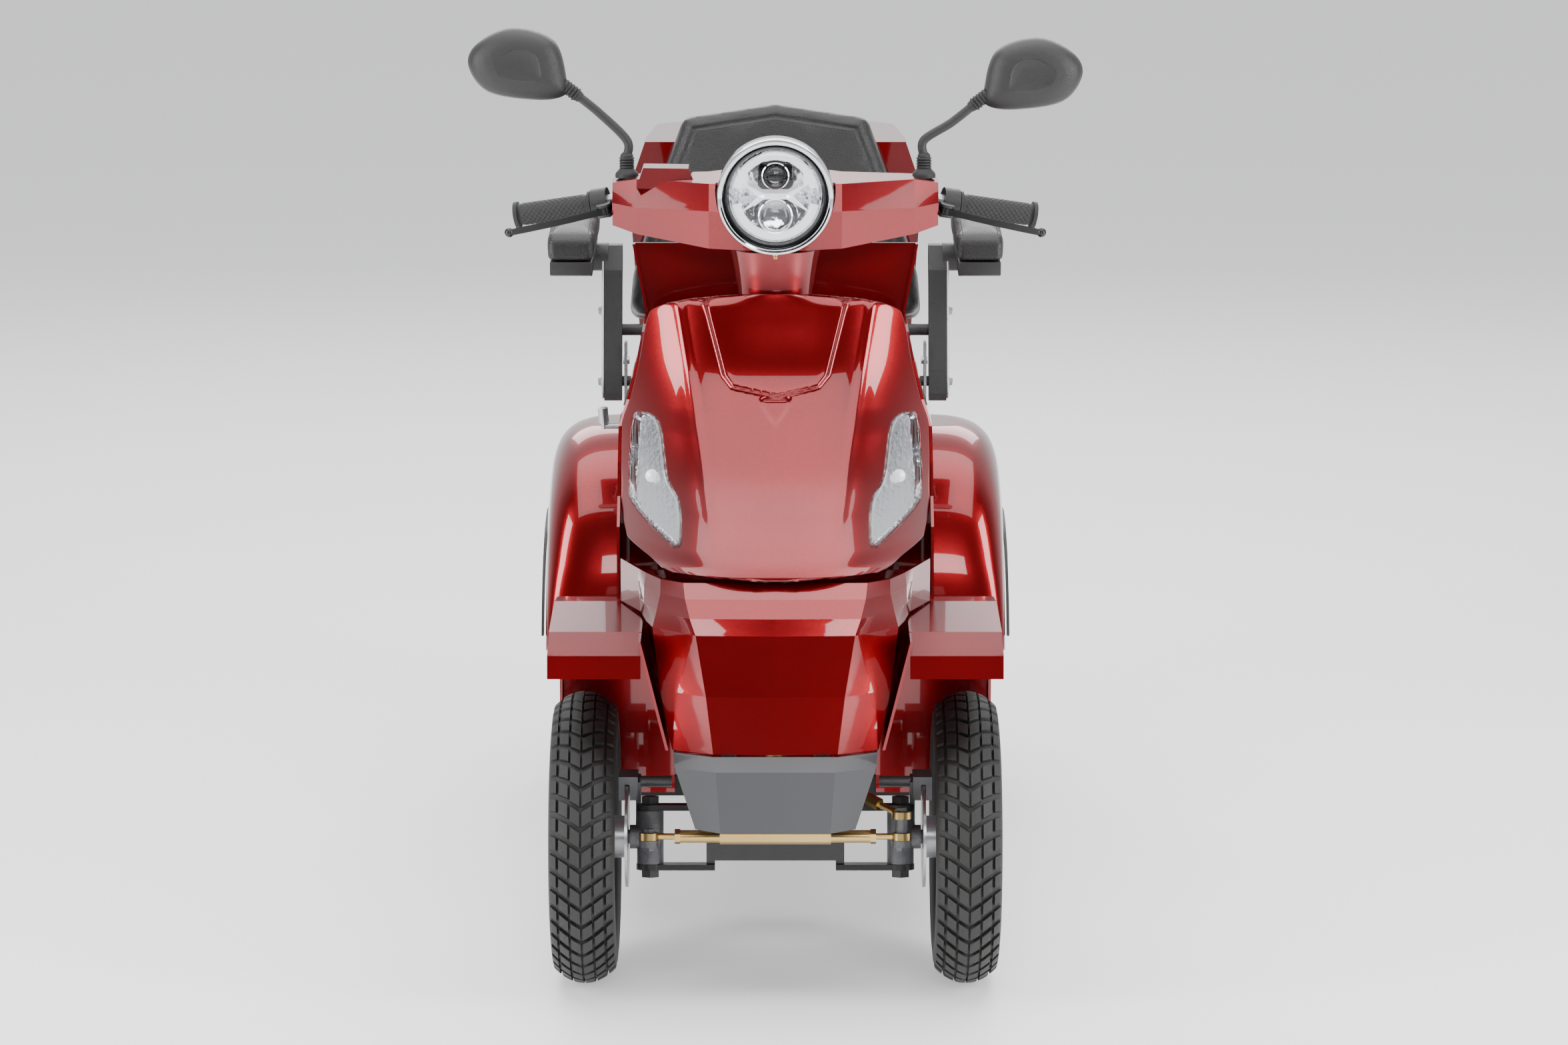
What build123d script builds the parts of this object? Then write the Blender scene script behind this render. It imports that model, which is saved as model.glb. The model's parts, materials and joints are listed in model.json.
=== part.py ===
"""Four-wheel mobility scooter, built as an assembly of separate pieces.

Frame: +Z up, the front faces -Y, +X is the rider's left. The origin is on the
ground, in the middle of the overall length and width. All sizes are millimetres.
"""

from build123d import *
import os
from math import cos, radians, sin

os.makedirs("parts", exist_ok=True)

# ----------------------------------------------------------------- driving sizes
wheelbase = 1150
front_overhang = 230
rear_overhang = 340
tyre_radius = 208
tyre_width = 92
rim_radius = 127
rim_flange = 12
front_half_track = 270
rear_half_track = 285
spindle_radius = 10
disc_radius = 72
disc_thickness = 4
kingpin_offset = 92
kingpin_radius = 8
rake = 8
arm_length = 68
bolt_radius = 6
column_radius = 16
column_top_height = 1085
column_low_height = 300
bar_radius = 11
bar_half_width = 376
grip_radius = 16.5
lamp_radius = 83
lamp_height = 1110
panel = 4
floor_height = 235
floor_half_width = 300
body_half_width = 212
deck_height = 600
fender_half_width = 370
trunk_length = 290
seat_half_width = 213
seat_top_height = 745
back_lean = 11.9
back_height = 341
pivot_radius = 8
running = 0.06
gap = 0.5

# ------------------------------------------------------------- derived positions
overall_length = front_overhang + wheelbase + rear_overhang
front_axle_y = front_overhang - overall_length / 2
rear_axle_y = front_axle_y + wheelbase
tail_y = overall_length / 2
axle_z = tyre_radius
kingpin_x = front_half_track - kingpin_offset
steer_axis = Vector(0, sin(radians(rake)), cos(radians(rake)))
steer_ahead = Vector(0, -cos(radians(rake)), sin(radians(rake)))


def front(distance):
    """Y at a distance behind the front axle."""
    return front_axle_y + distance


def rear(distance):
    """Y at a distance behind the rear axle."""
    return rear_axle_y + distance


def steered(point, up=0, ahead=0):
    """A point moved along the steering axis and square to it, forwards."""
    return Vector(*point) + steer_axis * up + steer_ahead * ahead


def save(builder, node):
    """Label a finished piece and write it to its own STEP file."""
    builder.part.label = node
    export_step(builder.part, f"parts/{node}.step")
    print(f"{node:20s} solids {len(builder.part.solids())} volume {builder.part.volume / 1000:9.1f} cm3")


def add_rod(start, end, radius, mode=Mode.ADD):
    """A round bar between two points."""
    run = Vector(*end) - Vector(*start)
    with BuildSketch(Plane(origin=start, z_dir=run)) as section:
        Circle(radius)
    extrude(section.sketch, amount=run.length, mode=mode)


def add_hex(start, end, across_flats, mode=Mode.ADD):
    """A hexagonal bar, nut or bolt head between two points."""
    run = Vector(*end) - Vector(*start)
    with BuildSketch(Plane(origin=start, z_dir=run)) as section:
        RegularPolygon(across_flats / 2, 6, major_radius=False)
    extrude(section.sketch, amount=run.length, mode=mode)


def add_box(low, high, mode=Mode.ADD):
    """A box given by its lowest and highest corners."""
    low, high = Vector(*low), Vector(*high)
    size = high - low
    with Locations((low + high) * 0.5):
        Box(size.X, size.Y, size.Z, mode=mode)


def add_side_plate(points, x_from, x_to, mode=Mode.ADD):
    """A plate whose outline is drawn in side view, as (y, z) points."""
    with BuildSketch(Plane(origin=(x_from, 0, 0), x_dir=(0, 1, 0), z_dir=(1, 0, 0))) as outline:
        with BuildLine():
            Polyline(*points, close=True)
        make_face()
    extrude(outline.sketch, amount=x_to - x_from, mode=mode)


def add_front_plate(points, y_from, y_to, mode=Mode.ADD):
    """A plate whose outline is drawn in front view, as (x, z) points."""
    with BuildSketch(Plane(origin=(0, y_to, 0), x_dir=(1, 0, 0), z_dir=(0, -1, 0))) as outline:
        with BuildLine():
            Polyline(*points, close=True)
        make_face()
    extrude(outline.sketch, amount=y_to - y_from, mode=mode)


def add_level_loft(levels, mode=Mode.ADD):
    """A ruled loft through level outlines, each a height and its (x, y) points."""
    faces = []
    for height, points in levels:
        with BuildSketch(Plane.XY.offset(height)) as outline:
            with BuildLine():
                Polyline(*points, close=True)
            make_face()
        faces.append(outline.sketch.face())
    loft(sections=faces, ruled=True, mode=mode)


def add_tube_run(points, bend, radius, mode=Mode.ADD):
    """A round tube bent with one radius along a run of points."""
    with BuildLine() as path:
        FilletPolyline(*points, radius=bend)
    start = path.line @ 0
    with BuildSketch(Plane(origin=start, z_dir=path.line % 0)) as section:
        Circle(radius)
    sweep(section.sketch, path=path.line, mode=mode)


def mirrored(half):
    """A left-to-right outline made from its right half, ordered from the middle."""
    return [(-x, y) for x, y in reversed(half) if x > 0] + list(half)


# ------------------------------------------------------------------------ wheels
bead_half_width = 30
sidewall = 7
tread = 10
crown_drop = 19
shoulder_half_width = tyre_width / 2 - 5
spoke_count = 5
hub_radius = 30
hub_outer = 26
front_hub_inner = 61
rear_hub_inner = 46
drum_radius = 62


def wheel_plane(side, x, y):
    """Sketch plane through a wheel's axle: local x points outboard, local y up."""
    return Plane(origin=(side * x, y, axle_z), x_dir=(side, 0, 0), z_dir=(0, -side, 0))


def make_tyre(side, x, y):
    """A hollow tyre with two beads, open towards the rim."""
    shoulder_r = tyre_radius - crown_drop
    flange_r = rim_radius + rim_flange
    bulge_r = (flange_r + shoulder_r) / 2
    half = tyre_width / 2
    b, s = bead_half_width, shoulder_half_width
    with BuildPart() as tyre:
        with BuildSketch(wheel_plane(side, x, y)):
            with BuildLine():
                Line((b - sidewall, rim_radius), (b, rim_radius))
                Line((b, rim_radius), (b, flange_r))
                ThreePointArc((b, flange_r), (half, bulge_r), (s, shoulder_r))
                ThreePointArc((s, shoulder_r), (0, tyre_radius), (-s, shoulder_r))
                ThreePointArc((-s, shoulder_r), (-half, bulge_r), (-b, flange_r))
                Line((-b, flange_r), (-b, rim_radius))
                Line((-b, rim_radius), (sidewall - b, rim_radius))
                Line((sidewall - b, rim_radius), (sidewall - b, flange_r))
                ThreePointArc(
                    (sidewall - b, flange_r), (sidewall - half, bulge_r), (tread - s, shoulder_r - tread / 2)
                )
                ThreePointArc(
                    (tread - s, shoulder_r - tread / 2), (0, tyre_radius - tread), (s - tread, shoulder_r - tread / 2)
                )
                ThreePointArc(
                    (s - tread, shoulder_r - tread / 2), (half - sidewall, bulge_r), (b - sidewall, flange_r)
                )
                Line((b - sidewall, flange_r), (b - sidewall, rim_radius))
            make_face()
        revolve(axis=Axis((side * x, y, axle_z), (1, 0, 0)))
    return tyre


def make_rim(side, x, y, hub_inner, brake_radius, brake_width):
    """A cast rim: drop-centre barrel, five spokes, hub with its bore, brake disc or drum."""
    b, r = bead_half_width, rim_radius
    half = [(14, r - 14), (20, r), (b, r), (b, r + rim_flange), (b + 4, r + rim_flange)]
    half += [(b + 4, r - 2), (b - 6, r - 5), (17, r - 18)]
    barrel = [(px, py) for px, py in half] + [(-px, py) for px, py in reversed(half)]
    axle = (side * x, y, axle_z)
    with BuildPart() as rim:
        with BuildSketch(wheel_plane(side, x, y)):
            with BuildLine():
                Polyline(*barrel, close=True)
            make_face()
        revolve(axis=Axis(axle, (1, 0, 0)))
        with BuildSketch(Plane(origin=(side * (x + 4), y, axle_z), z_dir=(side, 0, 0))):
            with PolarLocations((hub_radius + r - 18) / 2, spoke_count):
                Rectangle(r - 10 - hub_radius, 26)
        extrude(amount=12)
        add_rod((side * (x - hub_inner), y, axle_z), (side * (x + hub_outer), y, axle_z), hub_radius)
        add_rod(
            (side * (x - hub_inner), y, axle_z), (side * (x - hub_inner + brake_width), y, axle_z), brake_radius
        )
        add_rod(
            (side * (x - hub_inner - 1), y, axle_z),
            (side * (x + hub_outer + 1), y, axle_z),
            spindle_radius + running,
            mode=Mode.SUBTRACT,
        )
    return rim


def save_pair(right_piece, right_name, left_name):
    """Save a right-hand piece and its mirror image."""
    save(right_piece, right_name)
    with BuildPart() as left_piece:
        mirror(right_piece.part, about=Plane.YZ)
    save(left_piece, left_name)


save_pair(make_tyre(-1, front_half_track, front_axle_y), "front_right_tyre", "front_left_tyre")
save_pair(make_tyre(-1, rear_half_track, rear_axle_y), "rear_right_tyre", "rear_left_tyre")
save_pair(
    make_rim(-1, front_half_track, front_axle_y, front_hub_inner, disc_radius, disc_thickness),
    "front_right_rim", "front_left_rim",
)
save_pair(
    make_rim(-1, rear_half_track, rear_axle_y, rear_hub_inner, drum_radius, 30),
    "rear_right_rim", "rear_left_rim",
)

# ------------------------------------------------------------- steering linkage
barrel_radius = 19
barrel_half_height = 38
fork_plate = 8
fork_half_width = 17
nut_flats = 24
nut_height = 11
ring_radius = 14
ring_half_height = 5
tie_up = 8
drag_up = 38
plate_height = 10
bolt_head = 5
bolt_flats = 14
tie_rod_radius = 9


def kingpin(side):
    """The middle of a kingpin, on the axle line."""
    return Vector(side * kingpin_x, front_axle_y, axle_z)


def add_arm(origin, up):
    """A steering arm: a round-ended plate from a steering axis to its ball bolt."""
    middle = steered(origin, up, arm_length / 2)
    with BuildSketch(Plane(origin=middle, x_dir=steer_ahead, z_dir=steer_axis)) as arm:
        SlotCenterToCenter(arm_length, 2 * ring_radius)
    extrude(arm.sketch, amount=plate_height)


def add_ball_bolt(origin, low, high):
    """The bolt that carries a rod end, with a head at each end of its shank."""
    foot, top = steered(origin, low, arm_length), steered(origin, high, arm_length)
    add_rod(foot, top, bolt_radius)
    add_hex(foot, foot + steer_axis * bolt_head, bolt_flats)
    add_hex(top - steer_axis * bolt_head, top, bolt_flats)


def make_knuckle(side):
    """Kingpin barrel, stub axle with its nut, steering arm with its bolt, brake caliper."""
    pin = kingpin(side)
    disc_x = front_half_track - front_hub_inner
    hub_end = front_half_track + hub_outer
    caliper_y = front(36)
    caliper_z = axle_z + 64
    plate_up = tie_up - ring_half_height - gap - plate_height
    bolt_top = tie_up + ring_half_height + gap + bolt_head
    with BuildPart() as knuckle:
        add_rod(steered(pin, -barrel_half_height), steered(pin, barrel_half_height), barrel_radius)
        add_rod(pin, (side * (disc_x - 2), front_axle_y, axle_z), 17)
        add_rod(pin, (side * (hub_end + 26), front_axle_y, axle_z), spindle_radius)
        add_hex(
            (side * (hub_end + gap), front_axle_y, axle_z),
            (side * (hub_end + 15), front_axle_y, axle_z),
            nut_flats,
        )
        add_arm(pin, plate_up)
        if side > 0:
            collar_top = drag_up - ring_half_height - gap
            collar_low = bolt_top - bolt_head
            add_rod(steered(pin, collar_low, arm_length), steered(pin, collar_top, arm_length), bolt_radius + 3)
            bolt_top = drag_up + ring_half_height + gap + bolt_head
        add_ball_bolt(pin, plate_up - bolt_head, bolt_top)
        add_side_plate(
            [(front(8), axle_z - 10), (front(62), axle_z + 40), (front(50), axle_z + 80), (front(22), axle_z + 74),
             (front(20), axle_z + 20), (front(8), axle_z + 12)],
            side * (kingpin_x + 14), side * (kingpin_x + 21),
        )
        add_box(
            (min(side * (kingpin_x + 18), side * (disc_x + 14)), caliper_y - 24, caliper_z - 14),
            (max(side * (kingpin_x + 18), side * (disc_x + 14)), caliper_y + 24, caliper_z + 20),
        )
        add_rod(
            (side * (disc_x - 1.5), front_axle_y, axle_z),
            (side * (disc_x + disc_thickness + 1.5), front_axle_y, axle_z),
            disc_radius + 2,
            mode=Mode.SUBTRACT,
        )
        add_rod(pin, (side * (hub_end + 26), front_axle_y, axle_z), spindle_radius)
        add_rod(
            (side * (kingpin_x + 16), caliper_y, caliper_z + 8), (side * (kingpin_x - 30), caliper_y, caliper_z + 8), 8
        )
        add_rod(
            steered(pin, -barrel_half_height - 5),
            steered(pin, barrel_half_height + 5),
            kingpin_radius + running,
            mode=Mode.SUBTRACT,
        )
    return knuckle


save(make_knuckle(1), "left_knuckle")
save(make_knuckle(-1), "right_knuckle")

ring_bore = bolt_radius + running
with BuildPart() as tie_rod:
    left_ball = steered(kingpin(1), tie_up, arm_length)
    right_ball = steered(kingpin(-1), tie_up, arm_length)
    for ball, side in ((left_ball, 1), (right_ball, -1)):
        add_rod(ball - steer_axis * ring_half_height, ball + steer_axis * ring_half_height, ring_radius)
        inner = ball - Vector(side * 44, 0, 0)
        add_rod(ball - Vector(side * 10, 0, 0), inner, 4.5)
        add_hex(inner + Vector(side * 8, 0, 0), inner, 19)
    add_rod(left_ball - Vector(42, 0, 0), right_ball + Vector(42, 0, 0), tie_rod_radius)
    add_hex(left_ball * 0.72 + right_ball * 0.28, left_ball * 0.28 + right_ball * 0.72, 20)
    for ball in (left_ball, right_ball):
        add_rod(ball - steer_axis * 8, ball + steer_axis * 8, ring_bore, mode=Mode.SUBTRACT)
save(tie_rod, "tie_rod")

column_top = Vector(0, front(258), column_top_height)
column_low = column_top - steer_axis * ((column_top_height - column_low_height) / cos(radians(rake)))
with BuildPart() as drag_link:
    knuckle_ball = steered(kingpin(1), drag_up, arm_length)
    pitman_ball = steered(column_low, 0, arm_length)
    run = (pitman_ball - knuckle_ball).normalized()
    for ball in (knuckle_ball, pitman_ball):
        add_rod(ball - steer_axis * ring_half_height, ball + steer_axis * ring_half_height, ring_radius)
    add_rod(knuckle_ball + run * 12, pitman_ball - run * 12, 4.5)
    add_hex(knuckle_ball + run * 40, pitman_ball - run * 40, 16)
    for ball in (knuckle_ball, pitman_ball):
        add_rod(ball - steer_axis * 8, ball + steer_axis * 8, ring_bore, mode=Mode.SUBTRACT)
save(drag_link, "drag_link")

# ------------------------------------------------------------------- steering column
column_length = (column_top - column_low).length
head_tube_low = 42
head_tube_high = 300
bar_bend_x = 200
bar_bend_y = front(300)
bar_tip = Vector(bar_half_width, front(330), column_top_height - 29)
bar_knee = Vector(bar_bend_x, bar_bend_y, column_top_height)
bar_run = (bar_tip - bar_knee).normalized()


def on_bar(side, x):
    """The point of the bar's outer straight at a distance x from the middle."""
    point = bar_knee + bar_run * ((x - bar_bend_x) / bar_run.X)
    return Vector(side * point.X, point.Y, point.Z)


with BuildPart() as steering_column:
    plate_up = ring_half_height + gap
    add_rod(steered(column_low, plate_up), steered(column_low, column_length), column_radius)
    add_box((-26, column_top.Y - 19, column_top.Z - 24), (26, column_top.Y + 19, column_top.Z + 18))
    for low in (head_tube_low - 11, head_tube_high + gap):
        add_rod(steered(column_low, low), steered(column_low, low + 10.5), column_radius + 9)
    add_arm(column_low, plate_up)
    add_ball_bolt(column_low, -plate_up - bolt_head, plate_up + plate_height + bolt_head)
    add_rod((-80, column_top.Y, column_top.Z), (80, column_top.Y, column_top.Z), bar_radius, mode=Mode.SUBTRACT)
save(steering_column, "steering_column")

with BuildPart() as handlebar:
    bar_points = [(-bar_tip.X, bar_tip.Y, bar_tip.Z), (-bar_knee.X, bar_knee.Y, bar_knee.Z)]
    bar_points += [(-72, column_top.Y, column_top.Z), (72, column_top.Y, column_top.Z)]
    bar_points += [(bar_knee.X, bar_knee.Y, bar_knee.Z), (bar_tip.X, bar_tip.Y, bar_tip.Z)]
    add_tube_run(bar_points, 45, bar_radius)
save(handlebar, "handlebar")

neck_top = 1019
neck_foot = 935


def column_at(height):
    """The point of the steering axis at a height."""
    return column_top - steer_axis * ((column_top_height - height) / cos(radians(rake)))


def neck_loft(inset, low, high, mode):
    """The neck as a loft of circles round the column, narrower at the bottom."""
    faces = []
    for height, radius in ((low, 53), (970, 56), (high, 65)):
        centre = column_at(height)
        with BuildSketch(Plane(origin=centre)) as ring:
            Circle(radius - inset)
        faces.append(ring.sketch.face())
    loft(sections=faces, mode=mode)


with BuildPart() as neck_cover:
    neck_loft(0, neck_foot, neck_top, Mode.ADD)
    neck_loft(panel, neck_foot - 1, neck_top + 1, Mode.SUBTRACT)
save(neck_cover, "neck_cover")

# -------------------------------------------------------------------- handlebar cowl
mirror_x = 215
mirror_y = front(300)
mirror_base_z = 1121
lamp_face_y = front(110)
cowl_end = 235
cowl_stations = [
    # distance from the middle, then the outline in side view as (y, z)
    (0, [(front(165), 1072), (front(190), 1122), (front(300), 1136), (front(334), 1118),
         (front(334), 1062), (front(290), 1024), (front(190), 1021)]),
    (95, [(front(172), 1082), (front(200), 1118), (front(296), 1124), (front(334), 1112),
          (front(334), 1062), (front(292), 1028), (front(190), 1026)]),
    (200, [(front(226), 1080), (front(262), 1117), (front(312), 1119), (front(334), 1106),
           (front(334), 1062), (front(304), 1042), (front(242), 1040)]),
    (cowl_end, [(front(250), 1084), (front(270), 1111), (front(314), 1112), (front(332), 1102),
                (front(332), 1066), (front(306), 1050), (front(262), 1050)]),
]


def shrunk(points, inset):
    """An outline with each point moved towards the outline's middle."""
    cy = sum(y for y, z in points) / len(points)
    cz = sum(z for y, z in points) / len(points)
    depth = max(y for y, z in points) - min(y for y, z in points)
    height = max(z for y, z in points) - min(z for y, z in points)
    ky = 1 - 2 * inset / depth
    kz = 1 - 2 * inset / height
    return [(cy + (y - cy) * ky, cz + (z - cz) * kz) for y, z in points]


def add_cross_loft(stations, mode=Mode.ADD):
    """A ruled loft from side to side through outlines drawn in side view."""
    faces = []
    for x, points in stations:
        with BuildSketch(Plane(origin=(x, 0, 0), x_dir=(0, 1, 0), z_dir=(1, 0, 0))) as outline:
            with BuildLine():
                Polyline(*points, close=True)
            make_face()
        faces.append(outline.sketch.face())
    loft(sections=faces, ruled=True, mode=mode)


with BuildPart() as handlebar_cowl:
    both_sides = [(-x, points) for x, points in reversed(cowl_stations[1:])] + cowl_stations
    add_cross_loft(both_sides)
    hollow = [(x * 1.02, shrunk(points, panel)) for x, points in both_sides]
    add_cross_loft(hollow, mode=Mode.SUBTRACT)
    add_rod((0, front(20), lamp_height), (0, front(206), lamp_height), lamp_radius + 3, mode=Mode.SUBTRACT)
    add_rod(column_at(990), column_at(1060), 60, mode=Mode.SUBTRACT)
    add_front_plate(
        [(-200, 1106), (-190, 1136), (-125, 1135), (-112, 1106)], front(238), front(292)
    )
    add_cross_loft(hollow, mode=Mode.SUBTRACT)
save(handlebar_cowl, "handlebar_cowl")

# ------------------------------------------------------------------------- headlight
lens_radius = 73


def add_lamp_turn(points, mode=Mode.ADD):
    """A shape turned about the headlight's axis, from (distance behind the face, radius) points."""
    plane = Plane(origin=(0, lamp_face_y, lamp_height), x_dir=(0, 1, 0), z_dir=(1, 0, 0))
    with BuildSketch(plane) as section:
        with BuildLine():
            Polyline(*points, close=True)
        make_face()
    revolve(section.sketch, axis=Axis((0, lamp_face_y, lamp_height), (0, 1, 0)), mode=mode)


with BuildPart() as headlight_bezel:
    add_lamp_turn([
        (0, lens_radius + 3), (-2, lens_radius + 6), (0, lamp_radius), (40, lamp_radius), (72, lamp_radius - 6),
        (90, lamp_radius - 18), (90, lamp_radius - 21), (71, lamp_radius - 9), (40, lamp_radius - 3),
        (12, lamp_radius - 3), (12, lens_radius + 3),
    ])
save(headlight_bezel, "headlight_bezel")

with BuildPart() as headlight_lens:
    add_lamp_turn([(4, 0), (5, lens_radius * 0.6), (8, lens_radius + 2.5), (12, lens_radius + 2.5),
                   (9, lens_radius * 0.6), (8, 0)])
save(headlight_lens, "headlight_lens")

with BuildPart() as headlight_bowl:
    add_lamp_turn([(13, lens_radius + 2), (13, lens_radius - 2), (40, lens_radius - 6), (62, 50), (62, 0),
                   (66, 0), (66, 52), (44, lens_radius + 2)])
    for up in (30, -30):
        add_rod((0, lamp_face_y + 24, lamp_height + up), (0, lamp_face_y + 64, lamp_height + up), 24)
save(headlight_bowl, "headlight_bowl")

# ------------------------------------------------------------ grips, switches, levers
grip_start = 266
switch_start = 242
switch_radius = 22
lever_pin_radius = 4
lever_eye = Vector(247, front(262), 1071)
lever_tip = Vector(384, front(258), 1040)
lever_run = (lever_tip - lever_eye).normalized()
lever_axis = Vector(-lever_run.Z, 0, lever_run.X).normalized()
lever_half_height = 4.5


button_radius = 6
button_sink = 2.5
button_height = 6
button_travel = 1.5
switch_travel = 3


def switch_plane(side, distance):
    """A plane on the rider's side of a switch housing, at a distance from the bar's middle."""
    facing = Vector(-side * bar_run.Y, bar_run.X, 0).normalized()
    middle = on_bar(side, (switch_start + grip_start) / 2)
    return Plane(origin=middle + facing * distance, x_dir=flip(bar_run, side), z_dir=facing)


def flip(vector, side):
    """A vector on the rider's left, or its mirror image on the right."""
    return Vector(side * vector.X, vector.Y, vector.Z)


def make_grip(side, bore):
    """A rubber grip with a flange at each end, open at its inner end."""
    start, end = on_bar(side, grip_start), on_bar(side, bar_half_width + 2)
    run = (end - start).normalized()
    with BuildPart() as grip:
        add_rod(start, end, grip_radius)
        add_rod(start, start + run * 5, grip_radius + 4)
        add_rod(end - run * 6, end, grip_radius + 4)
        add_rod(start - run, on_bar(side, bar_half_width), bore, mode=Mode.SUBTRACT)
    return grip


save(make_grip(1, bar_radius), "left_grip")
save(make_grip(-1, bar_radius + running), "throttle_grip")

with BuildPart() as switch_housings:
    for side in (1, -1):
        start, end = on_bar(side, switch_start), on_bar(side, grip_start - 1.5)
        eye = flip(lever_eye, side)
        axis = flip(lever_axis, side)
        add_rod(start, end, switch_radius)
        ear = lever_half_height + gap
        for low in (ear, -ear - 4):
            with BuildSketch(Plane(origin=eye + axis * low, x_dir=(0, 1, 0), z_dir=axis)) as clevis:
                with Locations((22, 0)):
                    SlotCenterToCenter(44, 20)
            extrude(clevis.sketch, amount=4)
        add_rod(eye - axis * (ear + 4), eye + axis * (ear + 4), lever_pin_radius)
        add_rod(start - (end - start), end + (end - start), bar_radius, mode=Mode.SUBTRACT)
        with BuildSketch(switch_plane(side, switch_radius - button_sink - button_travel - gap)) as pocket:
            if side > 0:
                Circle(button_radius + gap)
            else:
                Rectangle(7 + 2 * (switch_travel + gap), 2 * button_radius - 4 + 2 * gap)
        extrude(pocket.sketch, amount=button_height * 2, mode=Mode.SUBTRACT)
save(switch_housings, "switch_housings")


def make_lever():
    """The left brake lever: eye, slim curved blade and ball end."""
    length = (lever_tip - lever_eye).length
    plane = Plane(origin=lever_eye - lever_axis * lever_half_height, x_dir=lever_run, z_dir=lever_axis)
    with BuildPart() as lever:
        with BuildSketch(plane):
            Circle(9)
            with BuildLine():
                Spline((0, -8), (length * 0.35, -15), (length, -4))
                Line((length, -4), (length, 3))
                Spline((length, 3), (length * 0.35, -5), (0, 8))
                Line((0, 8), (0, -8))
            make_face()
        extrude(amount=2 * lever_half_height)
        with Locations(lever_tip):
            Sphere(7)
        add_rod(lever_eye - lever_axis * 9, lever_eye + lever_axis * 9, lever_pin_radius + running, mode=Mode.SUBTRACT)
    return lever


left_lever = make_lever()
save(left_lever, "left_brake_lever")
with BuildPart() as right_lever:
    mirror(left_lever.part, about=Plane.YZ)
save(right_lever, "right_brake_lever")

with BuildPart() as horn_button:
    with BuildSketch(switch_plane(1, switch_radius - button_sink)):
        Circle(button_radius)
    extrude(amount=button_height)
save(horn_button, "horn_button")

with BuildPart() as light_switch:
    with BuildSketch(switch_plane(-1, switch_radius - button_sink)):
        Rectangle(7, 2 * button_radius - 4)
    extrude(amount=button_height)
save(light_switch, "light_switch")

with BuildPart() as ignition_key:
    key_x = -60
    key_z = 1088
    key_y = front(334) + gap
    add_rod((key_x, key_y, key_z), (key_x, key_y + 5, key_z), 11)
    add_box((key_x - 1.5, key_y + 4, key_z - 11), (key_x + 1.5, key_y + 32, key_z + 11))
save(ignition_key, "ignition_key")

# --------------------------------------------------------------------------- mirrors
stem_radius = 7
mirror_right_drop = 14
mirror_outline = [(-66, -22), (-48, 34), (12, 52), (62, 30), (76, -2), (48, -40), (-20, -52), (-62, -46)]


def mirror_points(side):
    """The route of a mirror's stem, from its base to its neck."""
    drop = mirror_right_drop if side > 0 else 0
    return [
        Vector(side * mirror_x, mirror_y, mirror_base_z + 24),
        Vector(side * mirror_x, mirror_y, mirror_base_z + 48),
        Vector(side * (mirror_x + 40), mirror_y - 3, mirror_base_z + 86 - drop),
        Vector(side * (mirror_x + 74), mirror_y - 6, mirror_base_z + 115 - drop),
    ]


def make_stem(side):
    """A mirror's base, collar and bent stem."""
    base = Vector(side * mirror_x, mirror_y, mirror_base_z)
    with BuildPart() as stem:
        add_rod(base, base + Vector(0, 0, 8), 15)
        add_rod(base, base + Vector(0, 0, 27), 11)
        add_tube_run(mirror_points(side), 22, stem_radius)
    return stem


def make_mirror(side):
    """A mirror head: a domed teardrop housing with its glass on the rider's side."""
    neck = mirror_points(side)[-1]
    before = mirror_points(side)[-2]
    run = (neck - before).normalized()
    centre = neck + Vector(side * 76, -2, 42)
    with BuildPart() as head:
        faces = []
        for back, scale in ((-22, 0.5), (-17, 0.8), (-4, 1.0), (16, 0.97)):
            with BuildSketch(Plane(origin=centre + Vector(0, back, 0), x_dir=(side, 0, 0), z_dir=(0, -side, 0))) as s:
                with BuildLine():
                    Spline(*[(px * scale, pz * scale) for px, pz in mirror_outline], periodic=True)
                make_face()
            faces.append(s.sketch.face())
        loft(sections=faces)
        add_rod(neck + run * 0.6, neck + run * 24, 9)
    return head


save(make_stem(1), "left_mirror_stem")
save(make_stem(-1), "right_mirror_stem")
save(make_mirror(1), "left_mirror")
save(make_mirror(-1), "right_mirror")

# ------------------------------------------------------------------------ main frame
rail_x = 90
rail_radius = 14
rail_z = 205
upper_rail_z = 480
platform_top = 502
swing_pivot = Vector(0, rear(-200), axle_z + 132)
shock_x = 150
shock_top = Vector(shock_x, rear(-8), upper_rail_z)
cross_half = 98
post_y = rear(-380)
tray_z = 284

with BuildPart() as front_axle:
    add_box((-cross_half, front(-20), axle_z - 30), (cross_half, front(20), axle_z + 30))
    for side in (1, -1):
        pin = kingpin(side)
        reach = kingpin_x - cross_half + 12
        fork = barrel_half_height + gap
        for low in (fork, -fork - fork_plate):
            with BuildSketch(Plane(origin=steered(pin, low), x_dir=(side, 0, 0), z_dir=steer_axis)) as plate:
                Circle(20)
                with Locations((-reach / 2, 0)):
                    Rectangle(reach, 2 * fork_half_width)
            extrude(plate.sketch, amount=fork_plate)
        low, high = sorted((side * (cross_half - 12), side * cross_half))
        add_box((low, front(-fork_half_width), axle_z - fork - 6), (high, front(fork_half_width), axle_z + fork + 6))
        add_rod((side * 60, front(-10), axle_z + 10), (side * 60, front(-176), axle_z + 110), 9)
        top = fork + fork_plate
        add_rod(steered(pin, -top - 2), steered(pin, top + 2), kingpin_radius)
        add_hex(steered(pin, top), steered(pin, top + nut_height), nut_flats)
        add_hex(steered(pin, -top - nut_height), steered(pin, -top), nut_flats)
save(front_axle, "front_axle")

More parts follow.
